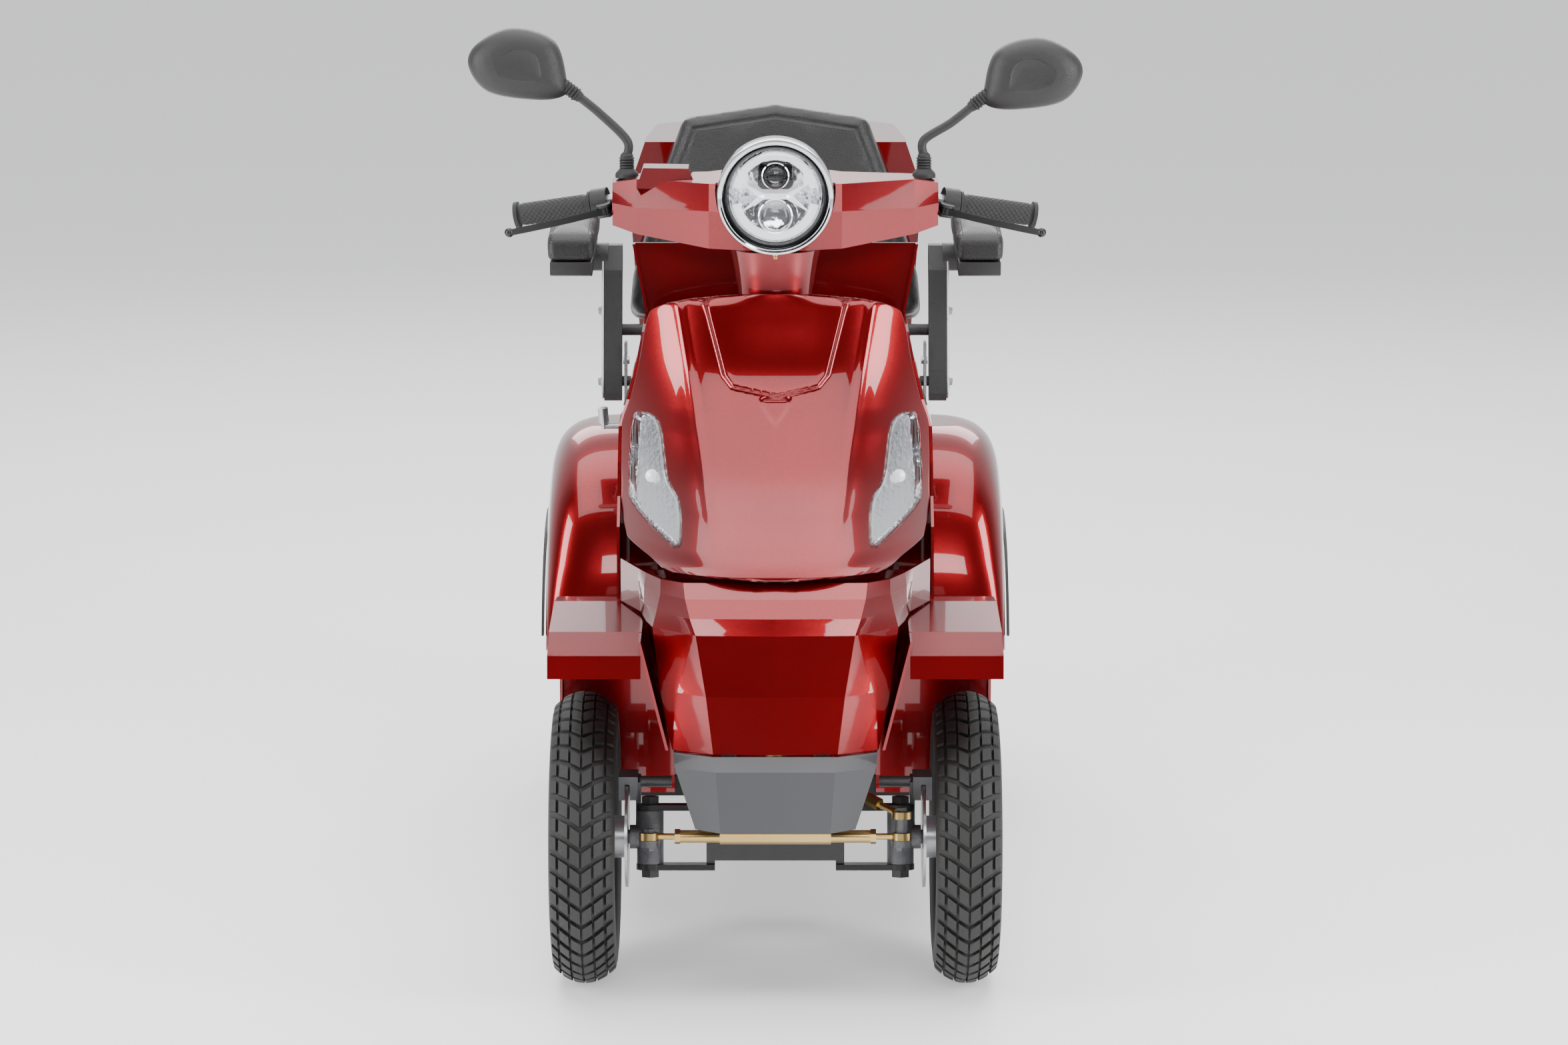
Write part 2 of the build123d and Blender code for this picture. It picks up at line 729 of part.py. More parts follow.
with BuildPart() as main_frame:
    for side in (1, -1):
        add_tube_run(
            [(side * rail_x, front(20), rail_z), (side * rail_x, rear(-426), rail_z),
             (side * rail_x, rear(-405), upper_rail_z), (side * rail_x, rear(250), upper_rail_z)],
            40, rail_radius,
        )
        add_rod((side * rail_x, swing_pivot.Y, upper_rail_z), (side * rail_x, swing_pivot.Y, tray_z), 12)
        add_rod((side * rail_x, front(150), rail_z), (side * 18, column_at(470).Y, 470), 11)
    for y in (front(290), rear(-480)):
        add_rod((-floor_half_width + 12, y, floor_height - 16), (floor_half_width - 12, y, floor_height - 16), 10)
    add_rod((-shock_x - 30, shock_top.Y, shock_top.Z), (shock_x + 30, shock_top.Y, shock_top.Z), 10)
    add_rod((-rail_x, swing_pivot.Y, swing_pivot.Z), (rail_x, swing_pivot.Y, swing_pivot.Z), 10)
    add_box((-150, rear(-430), upper_rail_z + 10), (150, rear(-180), platform_top))
    add_box((-200, rear(-400), tray_z), (200, swing_pivot.Y + 8, tray_z + 6))
    add_rod((-rail_x, rear(245), upper_rail_z), (rail_x, rear(245), upper_rail_z), 12)
    add_rod(steered(column_low, head_tube_low), steered(column_low, head_tube_high), column_radius + 10)
    add_rod(
        steered(column_low, head_tube_low - 1),
        steered(column_low, head_tube_high + 1),
        column_radius + running,
        mode=Mode.SUBTRACT,
    )
save(main_frame, "main_frame")

# -------------------------------------------------------------- rear axle and shocks
with BuildPart() as swing_arm:
    add_rod((-70, swing_pivot.Y, swing_pivot.Z), (70, swing_pivot.Y, swing_pivot.Z), 16)
    for side in (1, -1):
        add_rod((side * 57, swing_pivot.Y, swing_pivot.Z), (side * 62, rear_axle_y - 10, axle_z + 35), 11)
        low, high = sorted((side * 50, side * 74))
        add_box((low, rear_axle_y - 26, axle_z + 22.5), (high, rear_axle_y + 26, axle_z + 38))
    add_rod((-71, swing_pivot.Y, swing_pivot.Z), (71, swing_pivot.Y, swing_pivot.Z), 10 + running, mode=Mode.SUBTRACT)
save(swing_arm, "swing_arm")

hub_face = rear_half_track - rear_hub_inner
with BuildPart() as drive_unit:
    add_rod((-hub_face + 3, rear_axle_y, axle_z), (hub_face - 3, rear_axle_y, axle_z), 22)
    add_rod((-hub_face - 90, rear_axle_y, axle_z), (hub_face + 90, rear_axle_y, axle_z), spindle_radius)
    add_rod((0, rear(40), axle_z), (0, rear(-50), axle_z), 46)
    add_rod((0, rear(-50), axle_z), (0, rear(-172), axle_z + 2), 42)
    for side in (1, -1):
        nut_x = rear_half_track + hub_outer
        add_hex((side * (nut_x + gap), rear_axle_y, axle_z), (side * (nut_x + 14), rear_axle_y, axle_z), nut_flats)
        add_rod((side * shock_x, rear_axle_y, axle_z), (side * shock_x, rear(-2), axle_z + 44), 10)
save(drive_unit, "drive_unit")

with BuildPart() as shock_bodies:
    for side in (1, -1):
        add_rod((side * shock_x, rear(-2), axle_z + 44 + gap), (side * shock_x, rear(-5), axle_z + 200), 16)
save(shock_bodies, "shock_bodies")

with BuildPart() as shock_covers:
    for side in (1, -1):
        top = Vector(side * shock_x, shock_top.Y + 1, shock_top.Z - 10)
        low = Vector(side * shock_x, rear(-3), axle_z + 130)
        add_rod(top, low, 28)
        add_rod(low - (top - low).normalized() * 2, low + (top - low) * 0.88, 25, mode=Mode.SUBTRACT)
        add_rod(
            (-shock_x - 40, shock_top.Y, shock_top.Z), (shock_x + 40, shock_top.Y, shock_top.Z), 10,
            mode=Mode.SUBTRACT,
        )
save(shock_covers, "shock_covers")

# ------------------------------------------------------------------------ batteries
battery_width = 76
battery_count = 5
with BuildPart() as battery_pack:
    for index in range(battery_count):
        left = (index - battery_count / 2) * (battery_width + 1)
        add_box((left, rear(-385), tray_z + 6 + gap), (left + battery_width, rear(-220), tray_z + 173))
save(battery_pack, "battery_pack")

# ------------------------------------------------------------------------- floor
splash_y = 245
with BuildPart() as floor_pan:
    add_box((-floor_half_width, front(splash_y + 7), floor_height - 30),
            (floor_half_width, rear(-300), floor_height))
    add_box((-floor_half_width + 5, front(splash_y + 12), floor_height - 31),
            (floor_half_width - 5, rear(-305), floor_height - 6), mode=Mode.SUBTRACT)
    for side in (1, -1):
        add_rod((side * rail_x, front(splash_y), rail_z), (side * rail_x, front(splash_y + 20), rail_z),
                rail_radius + 3, mode=Mode.SUBTRACT)
    add_box((-body_half_width - 2, rear(-462), floor_height - 40),
            (body_half_width + 2, rear(-290), floor_height + 5), mode=Mode.SUBTRACT)
    for side in (1, -1):
        inner, outer = sorted((side * (body_half_width - 2), side * (floor_half_width + 1)))
        add_box((inner, rear(-330), floor_height - 40), (outer, rear(-290), floor_height + 5), mode=Mode.SUBTRACT)
save(floor_pan, "floor_pan")

with BuildPart() as floor_mat:
    add_box((-250, front(300), floor_height), (250, rear(-475), floor_height + 4))
save(floor_mat, "floor_mat")

# ------------------------------------------------------------------ front bodywork
hood_levels = [
    # height, half width, edge and middle as distances behind the front axle
    (604, 20, -124.5, -125),
    (608, 140, -80, -123),
    (618, 177, -10, -114),
    (635, 212, 70, -92),
    (675, 222, 140, -38),
    (720, 222, 160, 20),
    (770, 221, 180, 64),
    (807, 210, 190, 92),
    (863, 196, 200, 128),
    (930, 181.5, 210, 156),
    (945, 150, 196, 162),
    (962, 60, 178, 168),
]
hood_shares = (1, 0.86, 0.64, 0.36, 0)
hood_curve = 2.6


def hood_outline(half_width, edge, middle, inset):
    """The hood's level outline, from side to side."""
    half = []
    for share in reversed(hood_shares):
        y = middle + (edge - middle) * share**hood_curve
        half.append(((half_width - inset) * share, front(y + inset)))
    return mirrored(half)


with BuildPart() as front_hood:
    levels = []
    for height, half_width, edge, middle in hood_levels:
        outer = hood_outline(half_width, edge, middle, 0)
        inner = hood_outline(half_width, edge, middle, panel)
        levels.append((height, outer + inner[::-1]))
    add_level_loft(levels)
save(front_hood, "front_hood")

nose_low = [
    # height, then the right half of the level outline as (x, distance behind the front axle)
    (376, [(0, -202), (86, -198), (143, -170), (145, -70), (145, 10)]),
    (455, [(0, -192), (96, -188), (160, -145), (163, -70), (163, 10)]),
    (538, [(0, -178), (110, -173), (171, -115), (181, -70), (181, 10)]),
]
nose_high = [
    (538, [(0, -178), (110, -173), (171, -115), (181, -70), (190, -10), (220, 66)]),
    (560, [(0, -168), (118, -165), (165, -105), (184, -60), (192, -8), (220, 66)]),
    (582, [(0, -142), (125, -138), (160, -98), (184, -50), (193, -6), (220, 66)]),
    (599, [(0, -112), (128, -108), (160, -82), (182, -35), (194, -4), (220, 66)]),
]


def nose_shell(levels):
    """Level outlines of the nose with its wall thickness."""
    shells = []
    for height, half in levels:
        outer = mirrored([(x, front(y)) for x, y in half])
        inner = mirrored([(max(x - panel, 0), front(y + panel)) for x, y in half[:-1]]
                         + [(half[-1][0] - panel, front(half[-1][1]))])
        shells.append((height, outer + inner[::-1]))
    return shells


with BuildPart() as nose_cover:
    add_level_loft(nose_shell(nose_low))
    add_level_loft(nose_shell(nose_high))
save(nose_cover, "nose_cover")

bumper_levels = [
    # height, then half widths and distances of the middle facet, corner and back
    (268, 76, -216, 111, -192),
    (358, 82, -230, 139, -200),
    (374, 86, -206, 141, -178),
]


def bumper_outline(middle_half, middle, corner_half, corner, inset):
    """A bumper level: flat middle, two slanted facets and two short sides."""
    half = [(middle_half, front(middle + inset)), (corner_half - inset, front(corner + inset)),
            (corner_half - inset, front(-120))]
    return [(-x, y) for x, y in reversed(half)] + half


with BuildPart() as front_bumper:
    add_level_loft([(h, bumper_outline(a, b, c, d, 0)) for h, a, b, c, d in bumper_levels])
    inner = [(h, bumper_outline(a, b, c, d, panel)) for h, a, b, c, d in bumper_levels]
    inner[0] = (inner[0][0] + panel, inner[0][1])
    inner[-1] = (inner[-1][0] + 1, inner[-1][1])
    add_level_loft(inner, mode=Mode.SUBTRACT)
    add_box((-200, front(-125), 260), (200, front(-115), 380), mode=Mode.SUBTRACT)
save(front_bumper, "front_bumper")

fender_outer_x = 315
fender_inner_x = 186
with BuildPart() as front_fenders:
    roof = [(front(-175), 510), (front(-110), 530), (front(70), 536), (front(170), 522),
            (front(splash_y + 5), 462), (front(splash_y + 5), 212)]
    under = [(front(splash_y), 212), (front(splash_y), 460), (front(168), 517), (front(70), 531),
             (front(-109), 525), (front(-171), 505), (front(-174), 478)]
    skirt = [(front(-179), 478), (front(-175), 510), (front(-110), 530), (front(70), 536), (front(170), 522),
             (front(splash_y + 5), 462), (front(splash_y + 5), 212), (front(splash_y - 25), 212),
             (front(splash_y - 25), 440), (front(160), 492), (front(70), 503), (front(-105), 497)]
    for side in (1, -1):
        inner, outer = sorted((side * fender_inner_x, side * fender_outer_x))
        add_side_plate(roof + under + [(front(-179), 478)], inner, outer)
        edge = sorted((side * (fender_outer_x - panel), side * fender_outer_x))
        add_side_plate(skirt, edge[0], edge[1])
        add_front_plate(
            [(side * fender_inner_x, 529), (side * (fender_inner_x + panel), 529),
             (side * (148 + panel), 376), (side * 148, 376)],
            front(-174), front(splash_y),
        )
        low, high = sorted((side * 148, side * (fender_inner_x + 2)))
        add_box((low, front(splash_y), 212), (high, front(splash_y + 5), 520))
save(front_fenders, "front_fenders")

knee_low = [
    # height, half width, back and front as distances behind the front axle
    (floor_height + gap, 226, 262, 252),
    (524, 226, 282, 254),
]
knee_high = [
    (538, 226, 284, 72),
    (640, 226, 292, 90),
    (675, 226.5, 296, 141),
    (720, 226.5, 300, 161),
    (770, 225.5, 306, 181),
    (807, 214, 310, 191),
    (863, 200, 316, 201),
    (917, 189, 322, 300),
    (1016, 208, 330, 310),
]


with BuildPart() as knee_panel:
    for rows in (knee_low, knee_high):
        add_level_loft([(h, [(-w, front(b)), (-w, front(f)), (-w + panel, front(f)), (-w + panel, front(b - panel)),
                             (w - panel, front(b - panel)), (w - panel, front(f)), (w, front(f)), (w, front(b))])
                        for h, w, b, f in rows])
    joint_low, joint_high = knee_low[-1], knee_high[0]
    add_box((-226, front(joint_low[2] - panel), joint_low[0] - 1), (226, front(joint_high[2]), joint_high[0] + 1))
save(knee_panel, "knee_panel")

lens_points = [(204, 788), (195, 794), (173, 791), (162, 774), (154, 716), (134, 686), (132, 636), (144, 634),
               (202, 672), (208, 696)]
with BuildPart() as turn_lenses:
    for side in (1, -1):
        add_front_plate([(side * x, z) for x, z in lens_points], front(0), front(185))
    levels = []
    for height, half_width, edge, middle in hood_levels[2:-2]:
        outer = hood_outline(half_width + 4, edge - 4, middle - 4, -gap)
        inner = hood_outline(half_width + 4, edge, middle, gap - 1)
        levels.append((height, outer + inner[::-1]))
    add_level_loft(levels, mode=Mode.INTERSECT)
save(turn_lenses, "turn_lenses")

# -------------------------------------------------------------------- rear bodywork
body_front = rear(-460)
body_bottom = 262
tail_flat = tail_y - 8
with BuildPart() as rear_body:
    outline = [(body_front, 240), (body_front, 560), (body_front + 34, deck_height), (rear(225), deck_height),
               (tail_flat - 12, 500), (tail_flat, 446), (tail_flat, 396), (tail_flat - 12, 300),
               (rear(240), body_bottom), (rear(-400), body_bottom)]
    inside = [(body_front + panel, 230), (body_front + panel, 558), (body_front + 36, deck_height - panel),
              (rear(223), deck_height - panel), (tail_flat - 15, 499), (tail_flat - panel, 445),
              (tail_flat - panel, 397), (tail_flat - 15, 303), (rear(238), body_bottom - 10),
              (rear(-400), body_bottom - 10)]
    add_side_plate(outline, -body_half_width, body_half_width)
    add_side_plate(inside, -body_half_width + panel, body_half_width - panel, mode=Mode.SUBTRACT)
    add_rod((0, post_y, deck_height - 10), (0, post_y, deck_height + 10), 32, mode=Mode.SUBTRACT)
save(rear_body, "rear_body")

fender_profile = [(-258, 285), (-235, 420), (-175, 540), (-65, 606), (65, 610), (180, 573), (250, 470), (270, 300)]


def make_fender_form(side, inset, round_edge):
    """The closed form of a rear fender, smaller by an inset on every side."""
    points = []
    for y, z in fender_profile:
        scale = 1 - inset / 262
        points.append((rear(y * scale), 300 + (z - 300) * (1 - inset / 310)))
    if inset:
        points[0] = (points[0][0] - 1, 200)
        points[-1] = (points[-1][0] + 1, 200)
    x_from, x_to = sorted((side * (body_half_width + gap), side * (fender_half_width - inset)))
    with BuildPart() as form:
        add_side_plate(points, x_from, x_to)
        outer_face = form.faces().sort_by(Axis.X)[-1 if side > 0 else 0]
        edges = outer_face.edges().sort_by(Axis.Z)[1:]
        fillet(edges, round_edge)
    return form


with BuildPart() as rear_fenders:
    for side in (1, -1):
        add(make_fender_form(side, 0, 45).part)
        add(make_fender_form(side, 5, 40).part, mode=Mode.SUBTRACT)
        add_rod((side * 300, rear_axle_y, axle_z), (side * 380, rear_axle_y, axle_z), tyre_radius + 30,
                mode=Mode.SUBTRACT)
save(rear_fenders, "rear_fenders")

with BuildPart() as fender_flares:
    for side in (1, -1):
        x = side * (fender_half_width + 0.1)
        add_rod((x, rear_axle_y, axle_z), (x + side * 4, rear_axle_y, axle_z), tyre_radius + 46)
        add_rod((x - side, rear_axle_y, axle_z), (x + side * 5, rear_axle_y, axle_z), tyre_radius + 30,
                mode=Mode.SUBTRACT)
    add_box((-400, rear(-400), -100), (400, rear(400), 302), mode=Mode.SUBTRACT)
save(fender_flares, "fender_flares")

with BuildPart() as tail_lamps:
    for side in (1, -1):
        low, high = sorted((side * 112, side * 196))
        add_box((low, tail_flat + 0.1, 400), (high, tail_y, 442))
save(tail_lamps, "tail_lamps")

# ---------------------------------------------------------------------------- trunk
trunk_front = rear(-73)
trunk_back = trunk_front + trunk_length
trunk_low = deck_height + gap
lid_z = 1000
lid_top = 1076
hinge_y = trunk_back + 7
hinge_z = lid_z + gap / 2
hinge_pin_radius = 3
hinge_barrel = (20, 40)


def trunk_outline(half_width, inset, back_narrowing):
    """A trunk level: straight front, narrower back with cut corners."""
    half = [(half_width - inset, trunk_front + inset), (half_width - inset, trunk_front + 60),
            (half_width - back_narrowing - inset, trunk_back - 40), (half_width - back_narrowing - 32, trunk_back - inset)]
    return [(-x, y) for x, y in reversed(half)] + half


with BuildPart() as trunk_tub:
    add_level_loft([(trunk_low, trunk_outline(206, 0, 20)), (lid_z, trunk_outline(235, 0, 16))])
    add_level_loft([(trunk_low + panel, trunk_outline(206, panel, 20)), (lid_z + 1, trunk_outline(235, panel, 16))],
                   mode=Mode.SUBTRACT)
    for side in (1, -1):
        low, high = sorted((side * (hinge_barrel[1] + 1), side * (hinge_barrel[1] + 14)))
        add_box((low, trunk_back - 2, hinge_z - 12), (high, hinge_y + 5, hinge_z - 0.5))
        add_rod((side * (hinge_barrel[0] - 4), hinge_y, hinge_z), (side * (hinge_barrel[1] + 12), hinge_y, hinge_z),
                hinge_pin_radius)
save(trunk_tub, "trunk_tub")

with BuildPart() as trunk_lid:
    add_level_loft([(lid_z + gap, trunk_outline(235, 0, 16)), (1038, trunk_outline(222, 0, 15)),
                    (lid_top, trunk_outline(209, 0, 14))])
    add_level_loft([(lid_z, trunk_outline(235, panel, 16)), (1038, trunk_outline(222, panel, 15)),
                    (lid_top - panel, trunk_outline(209, panel, 14))], mode=Mode.SUBTRACT)
    for side in (1, -1):
        low, high = sorted((side * hinge_barrel[0], side * hinge_barrel[1]))
        add_box((low, trunk_back - 2, hinge_z + 1), (high, hinge_y, hinge_z + 6))
        add_rod((low, hinge_y, hinge_z), (high, hinge_y, hinge_z), 6)
        add_rod((low - 1, hinge_y, hinge_z), (high + 1, hinge_y, hinge_z), hinge_pin_radius + running,
                mode=Mode.SUBTRACT)
save(trunk_lid, "trunk_lid")

# ----------------------------------------------------------------------------- seat
rail_base = 618
lower_rail = (90, 114)
pan_low = rail_base + 22
pan_top = pan_low + 6
side_plate_x = 232
back_pivot = Vector(0, rear(-320), 729)
lever_pivot_y = rear(-382)
cushion_front = rear(-642)
cushion_back = rear(-234)

with BuildPart() as seat_post:
    add_rod((0, post_y, platform_top), (0, post_y, rail_base), 30)
    add_box((-122, rear(-520), rail_base), (122, rear(-250), rail_base + 6))
    for side in (1, -1):
        low, high = sorted((side * lower_rail[0], side * lower_rail[1]))
        add_box((low, rear(-560), rail_base + 6), (high, rear(-240), rail_base + 18))
save(seat_post, "seat_post")

with BuildPart() as seat_pan:
    add_box((-205, rear(-632), pan_low), (205, cushion_back - 2, pan_top))
    for side in (1, -1):
        for x in (lower_rail[0] - gap - 4, lower_rail[1] + gap):
            low, high = sorted((side * x, side * (x + 4)))
            add_box((low, rear(-600), rail_base + 8), (high, rear(-245), pan_low + 1))
        low, high = sorted((side * 200, side * (side_plate_x + 4)))
        add_box((low, rear(-390), pan_low), (high, rear(-285), pan_top))
        low, high = sorted((side * side_plate_x, side * (side_plate_x + 4)))
        add_side_plate(
            [(rear(-385), pan_low), (rear(-285), pan_low), (rear(-292), 700), (rear(-300), 790),
             (rear(-332), 790), (rear(-342), 700)], low, high,
        )
        add_rod((side * (side_plate_x - 4), back_pivot.Y, 762), (side * (side_plate_x + 6), back_pivot.Y, 762), 6)
        add_rod((side * (side_plate_x - 1), back_pivot.Y, back_pivot.Z),
                (side * (side_plate_x + 5), back_pivot.Y, back_pivot.Z), pivot_radius + running, mode=Mode.SUBTRACT)
    add_box((-222, lever_pivot_y - 12, pan_low), (-216, lever_pivot_y + 12, 684))
    add_rod((-230, lever_pivot_y, 668), (-210, lever_pivot_y, 668), 4.5 + running, mode=Mode.SUBTRACT)
save(seat_pan, "seat_pan")

with BuildPart() as seat_cushion:
    add_box((-seat_half_width, cushion_front, pan_top + gap), (seat_half_width, cushion_back, seat_top_height))
    fillet(seat_cushion.edges().group_by(Axis.Z)[-1], 28)
    fillet(seat_cushion.edges().filter_by(Axis.Z), 24)
save(seat_cushion, "seat_cushion")

with BuildPart() as seat_lever:
    add_rod((-215.5, lever_pivot_y, 668), (-266, lever_pivot_y, 668), 4.5)
    add_rod((-266, lever_pivot_y, 664), (-268, lever_pivot_y - 2, 690), 4.5)
    add_rod((-266.5, lever_pivot_y - 0.5, 674), (-268.5, lever_pivot_y - 2.5, 697), 8)
save(seat_lever, "seat_lever")

arm_x = (240, 268)
arm_pivot = Vector(0, rear(-262), 917)
back_bar_y = rear(-292)
back_bar_z = 806
with BuildPart() as back_frame:
    for side in (1, -1):
        low, high = sorted((side * arm_x[0], side * arm_x[1]))
        add_side_plate(
            [(rear(-338), 712), (rear(-322), 698), (rear(-304), 702), (rear(-292), 760), (rear(-262), 872),
             (rear(-240), 915), (rear(-246), 936), (rear(-270), 936), (rear(-292), 900), (rear(-316), 810),
             (rear(-332), 750)], low, high,
        )
        add_rod((side * 262, arm_pivot.Y, arm_pivot.Z), (side * 290, arm_pivot.Y, arm_pivot.Z), 22)
        add_rod((side * 262, arm_pivot.Y, arm_pivot.Z), (side * 326, arm_pivot.Y, arm_pivot.Z), pivot_radius)
        add_rod((side * (side_plate_x - 8), back_pivot.Y, back_pivot.Z), (side * 242, back_pivot.Y, back_pivot.Z),
                pivot_radius)
        add_tube_run([(side * 120, back_bar_y, back_bar_z), (side * 120, back_bar_y + 36, back_bar_z - 22),
                      (side * 120, rear(-152), back_bar_z - 22), (side * 120, rear(-89), 1100)], 14, 9)
    add_rod((-242, back_bar_y, back_bar_z), (242, back_bar_y, back_bar_z), 9)
    add_side_plate([(rear(-163), 832), (rear(-151), 832), (rear(-96), 1105), (rear(-107), 1105)], -150, 150)
save(back_frame, "back_frame")

lean = radians(back_lean)
back_plane = Plane(origin=(0, rear(-258), 822), x_dir=(1, 0, 0), z_dir=(0, -cos(lean), sin(lean)))
with BuildPart() as backrest_cushion:
    with BuildSketch(back_plane):
        with BuildLine():
            Polyline((-232, 0), (232, 0), (226, 70), (178, back_height - 108), (146, back_height - 22),
                     (0, back_height), (-146, back_height - 22), (-178, back_height - 108), (-226, 70), close=True)
        make_face()
        fillet(vertices(), 18)
    extrude(amount=-84)
    fillet(backrest_cushion.faces().sort_by(Axis.Y)[0].edges(), 14)
save(backrest_cushion, "backrest_cushion")


def make_armrest(side):
    """A padded armrest on its moulded base, with the bore for its hinge pin."""
    with BuildPart() as armrest:
        low, high = sorted((side * 275, side * 346))
        add_side_plate(
            [(rear(-540), 926), (rear(-540), 978), (rear(-526), 990), (rear(-262), 1010), (rear(-250), 1000),
             (rear(-250), 950), (rear(-282), 946), (rear(-520), 922)], low, high,
        )
        fillet(armrest.edges().filter_by(Axis.X), 6)
        low, high = sorted((side * 291, side * 330))
        add_side_plate(
            [(rear(-440), 926), (rear(-440), 934), (rear(-282), 950), (rear(-246), 952), (rear(-240), 917),
             (rear(-254), 897), (rear(-276), 897), (rear(-300), 916)], low, high,
        )
        add_rod((side * 290.5, arm_pivot.Y, arm_pivot.Z), (side * 327, arm_pivot.Y, arm_pivot.Z),
                pivot_radius + running, mode=Mode.SUBTRACT)
    return armrest


save(make_armrest(1), "left_armrest")
save(make_armrest(-1), "right_armrest")
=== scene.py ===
# %% [markdown]
# # Mobility scooter: the visual model
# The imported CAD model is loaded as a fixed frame. Pieces whose CAD shape is right keep it and get
# softened edges and a material. Pieces with more shape than the CAD states are built here as meshes,
# in millimetres, and each rides on the CAD body that it belongs to.

import bpy
import bmesh
import json
import math
import numpy as np
from mathutils import Matrix, Vector
from mathutils.bvhtree import BVHTree


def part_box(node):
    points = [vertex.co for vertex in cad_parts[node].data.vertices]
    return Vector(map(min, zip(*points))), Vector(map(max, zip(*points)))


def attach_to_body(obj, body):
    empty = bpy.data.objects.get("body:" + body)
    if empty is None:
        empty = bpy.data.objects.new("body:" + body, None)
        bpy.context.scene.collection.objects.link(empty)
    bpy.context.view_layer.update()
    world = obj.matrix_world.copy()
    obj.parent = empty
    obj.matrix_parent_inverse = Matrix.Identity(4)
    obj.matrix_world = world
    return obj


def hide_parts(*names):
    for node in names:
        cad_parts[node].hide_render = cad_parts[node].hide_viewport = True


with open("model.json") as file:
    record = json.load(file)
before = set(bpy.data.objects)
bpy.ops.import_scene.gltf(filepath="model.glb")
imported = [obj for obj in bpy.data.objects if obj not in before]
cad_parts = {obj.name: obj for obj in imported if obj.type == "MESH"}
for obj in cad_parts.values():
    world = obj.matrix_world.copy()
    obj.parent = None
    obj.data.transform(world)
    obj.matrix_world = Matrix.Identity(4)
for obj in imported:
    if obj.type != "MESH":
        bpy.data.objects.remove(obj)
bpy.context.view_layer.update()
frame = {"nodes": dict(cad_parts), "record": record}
MM = 0.001

# %% [markdown]
# ## Materials
# Two shared node groups do most of the work: one gives grain, smudges and slow colour drift on
# object coordinates, the other gives the fine flake of metallic paint.

# %% Shared node groups


def shader_group(name, inputs, outputs):
    """A new shader node group with float inputs and outputs, given as (name, default)."""
    group = bpy.data.node_groups.new(name, "ShaderNodeTree")
    for label, default in inputs:
        socket = group.interface.new_socket(name=label, in_out="INPUT", socket_type="NodeSocketFloat")
        socket.default_value = default
    for label, kind in outputs:
        group.interface.new_socket(name=label, in_out="OUTPUT", socket_type=kind)
    return group, group.nodes.new("NodeGroupInput"), group.nodes.new("NodeGroupOutput")


def node(tree, kind, **settings):
    """A new node with its properties set; names that are sockets set the socket's value."""
    made = tree.nodes.new(kind)
    for key, value in settings.items():
        if key in made.inputs:
            made.inputs[key].default_value = value
        else:
            setattr(made, key, value)
    return made


detail, given, result = shader_group(
    "surface_detail",
    [("Grain Scale", 800.0), ("Grain Depth", 0.2), ("Roughness", 0.4), ("Smudge", 0.1)],
    [("Roughness", "NodeSocketFloat"), ("Drift", "NodeSocketFloat"), ("Normal", "NodeSocketVector")],
)
link = detail.links.new
place = node(detail, "ShaderNodeTexCoord")
grain = node(detail, "ShaderNodeTexVoronoi", feature="SMOOTH_F1")
link(place.outputs["Object"], grain.inputs["Vector"])
link(given.outputs["Grain Scale"], grain.inputs["Scale"])
fine = node(detail, "ShaderNodeTexNoise", Scale=260.0, Detail=4.0)
link(place.outputs["Object"], fine.inputs["Vector"])
smear = node(detail, "ShaderNodeTexNoise", Scale=9.0, Detail=5.0, Roughness=0.62)
link(place.outputs["Object"], smear.inputs["Vector"])
slow = node(detail, "ShaderNodeTexNoise", Scale=3.5, Detail=2.0)
link(place.outputs["Object"], slow.inputs["Vector"])
height = node(detail, "ShaderNodeMath", operation="MULTIPLY_ADD")
link(fine.outputs["Fac"], height.inputs[0])
height.inputs[1].default_value = 0.25
link(grain.outputs["Distance"], height.inputs[2])
bump = node(detail, "ShaderNodeBump", Distance=0.0006)
link(given.outputs["Grain Depth"], bump.inputs["Strength"])
link(height.outputs[0], bump.inputs["Height"])
centred = node(detail, "ShaderNodeMath", operation="SUBTRACT")
link(smear.outputs["Fac"], centred.inputs[0])
centred.inputs[1].default_value = 0.5
scaled = node(detail, "ShaderNodeMath", operation="MULTIPLY_ADD")
link(centred.outputs[0], scaled.inputs[0])
link(given.outputs["Smudge"], scaled.inputs[1])
link(given.outputs["Roughness"], scaled.inputs[2])
link(scaled.outputs[0], result.inputs["Roughness"])
link(slow.outputs["Fac"], result.inputs["Drift"])
link(bump.outputs["Normal"], result.inputs["Normal"])

flake, given, result = shader_group("paint_flake", [("Flake Scale", 2600.0)], [("Flake", "NodeSocketFloat")])
link = flake.links.new
place = node(flake, "ShaderNodeTexCoord")
cells = node(flake, "ShaderNodeTexVoronoi")
link(place.outputs["Object"], cells.inputs["Vector"])
link(given.outputs["Flake Scale"], cells.inputs["Scale"])
spread = node(flake, "ShaderNodeSeparateColor")
link(cells.outputs["Color"], spread.inputs["Color"])
link(spread.outputs["Red"], result.inputs["Flake"])
print("node groups", [g.name for g in bpy.data.node_groups])

# %% The material maker


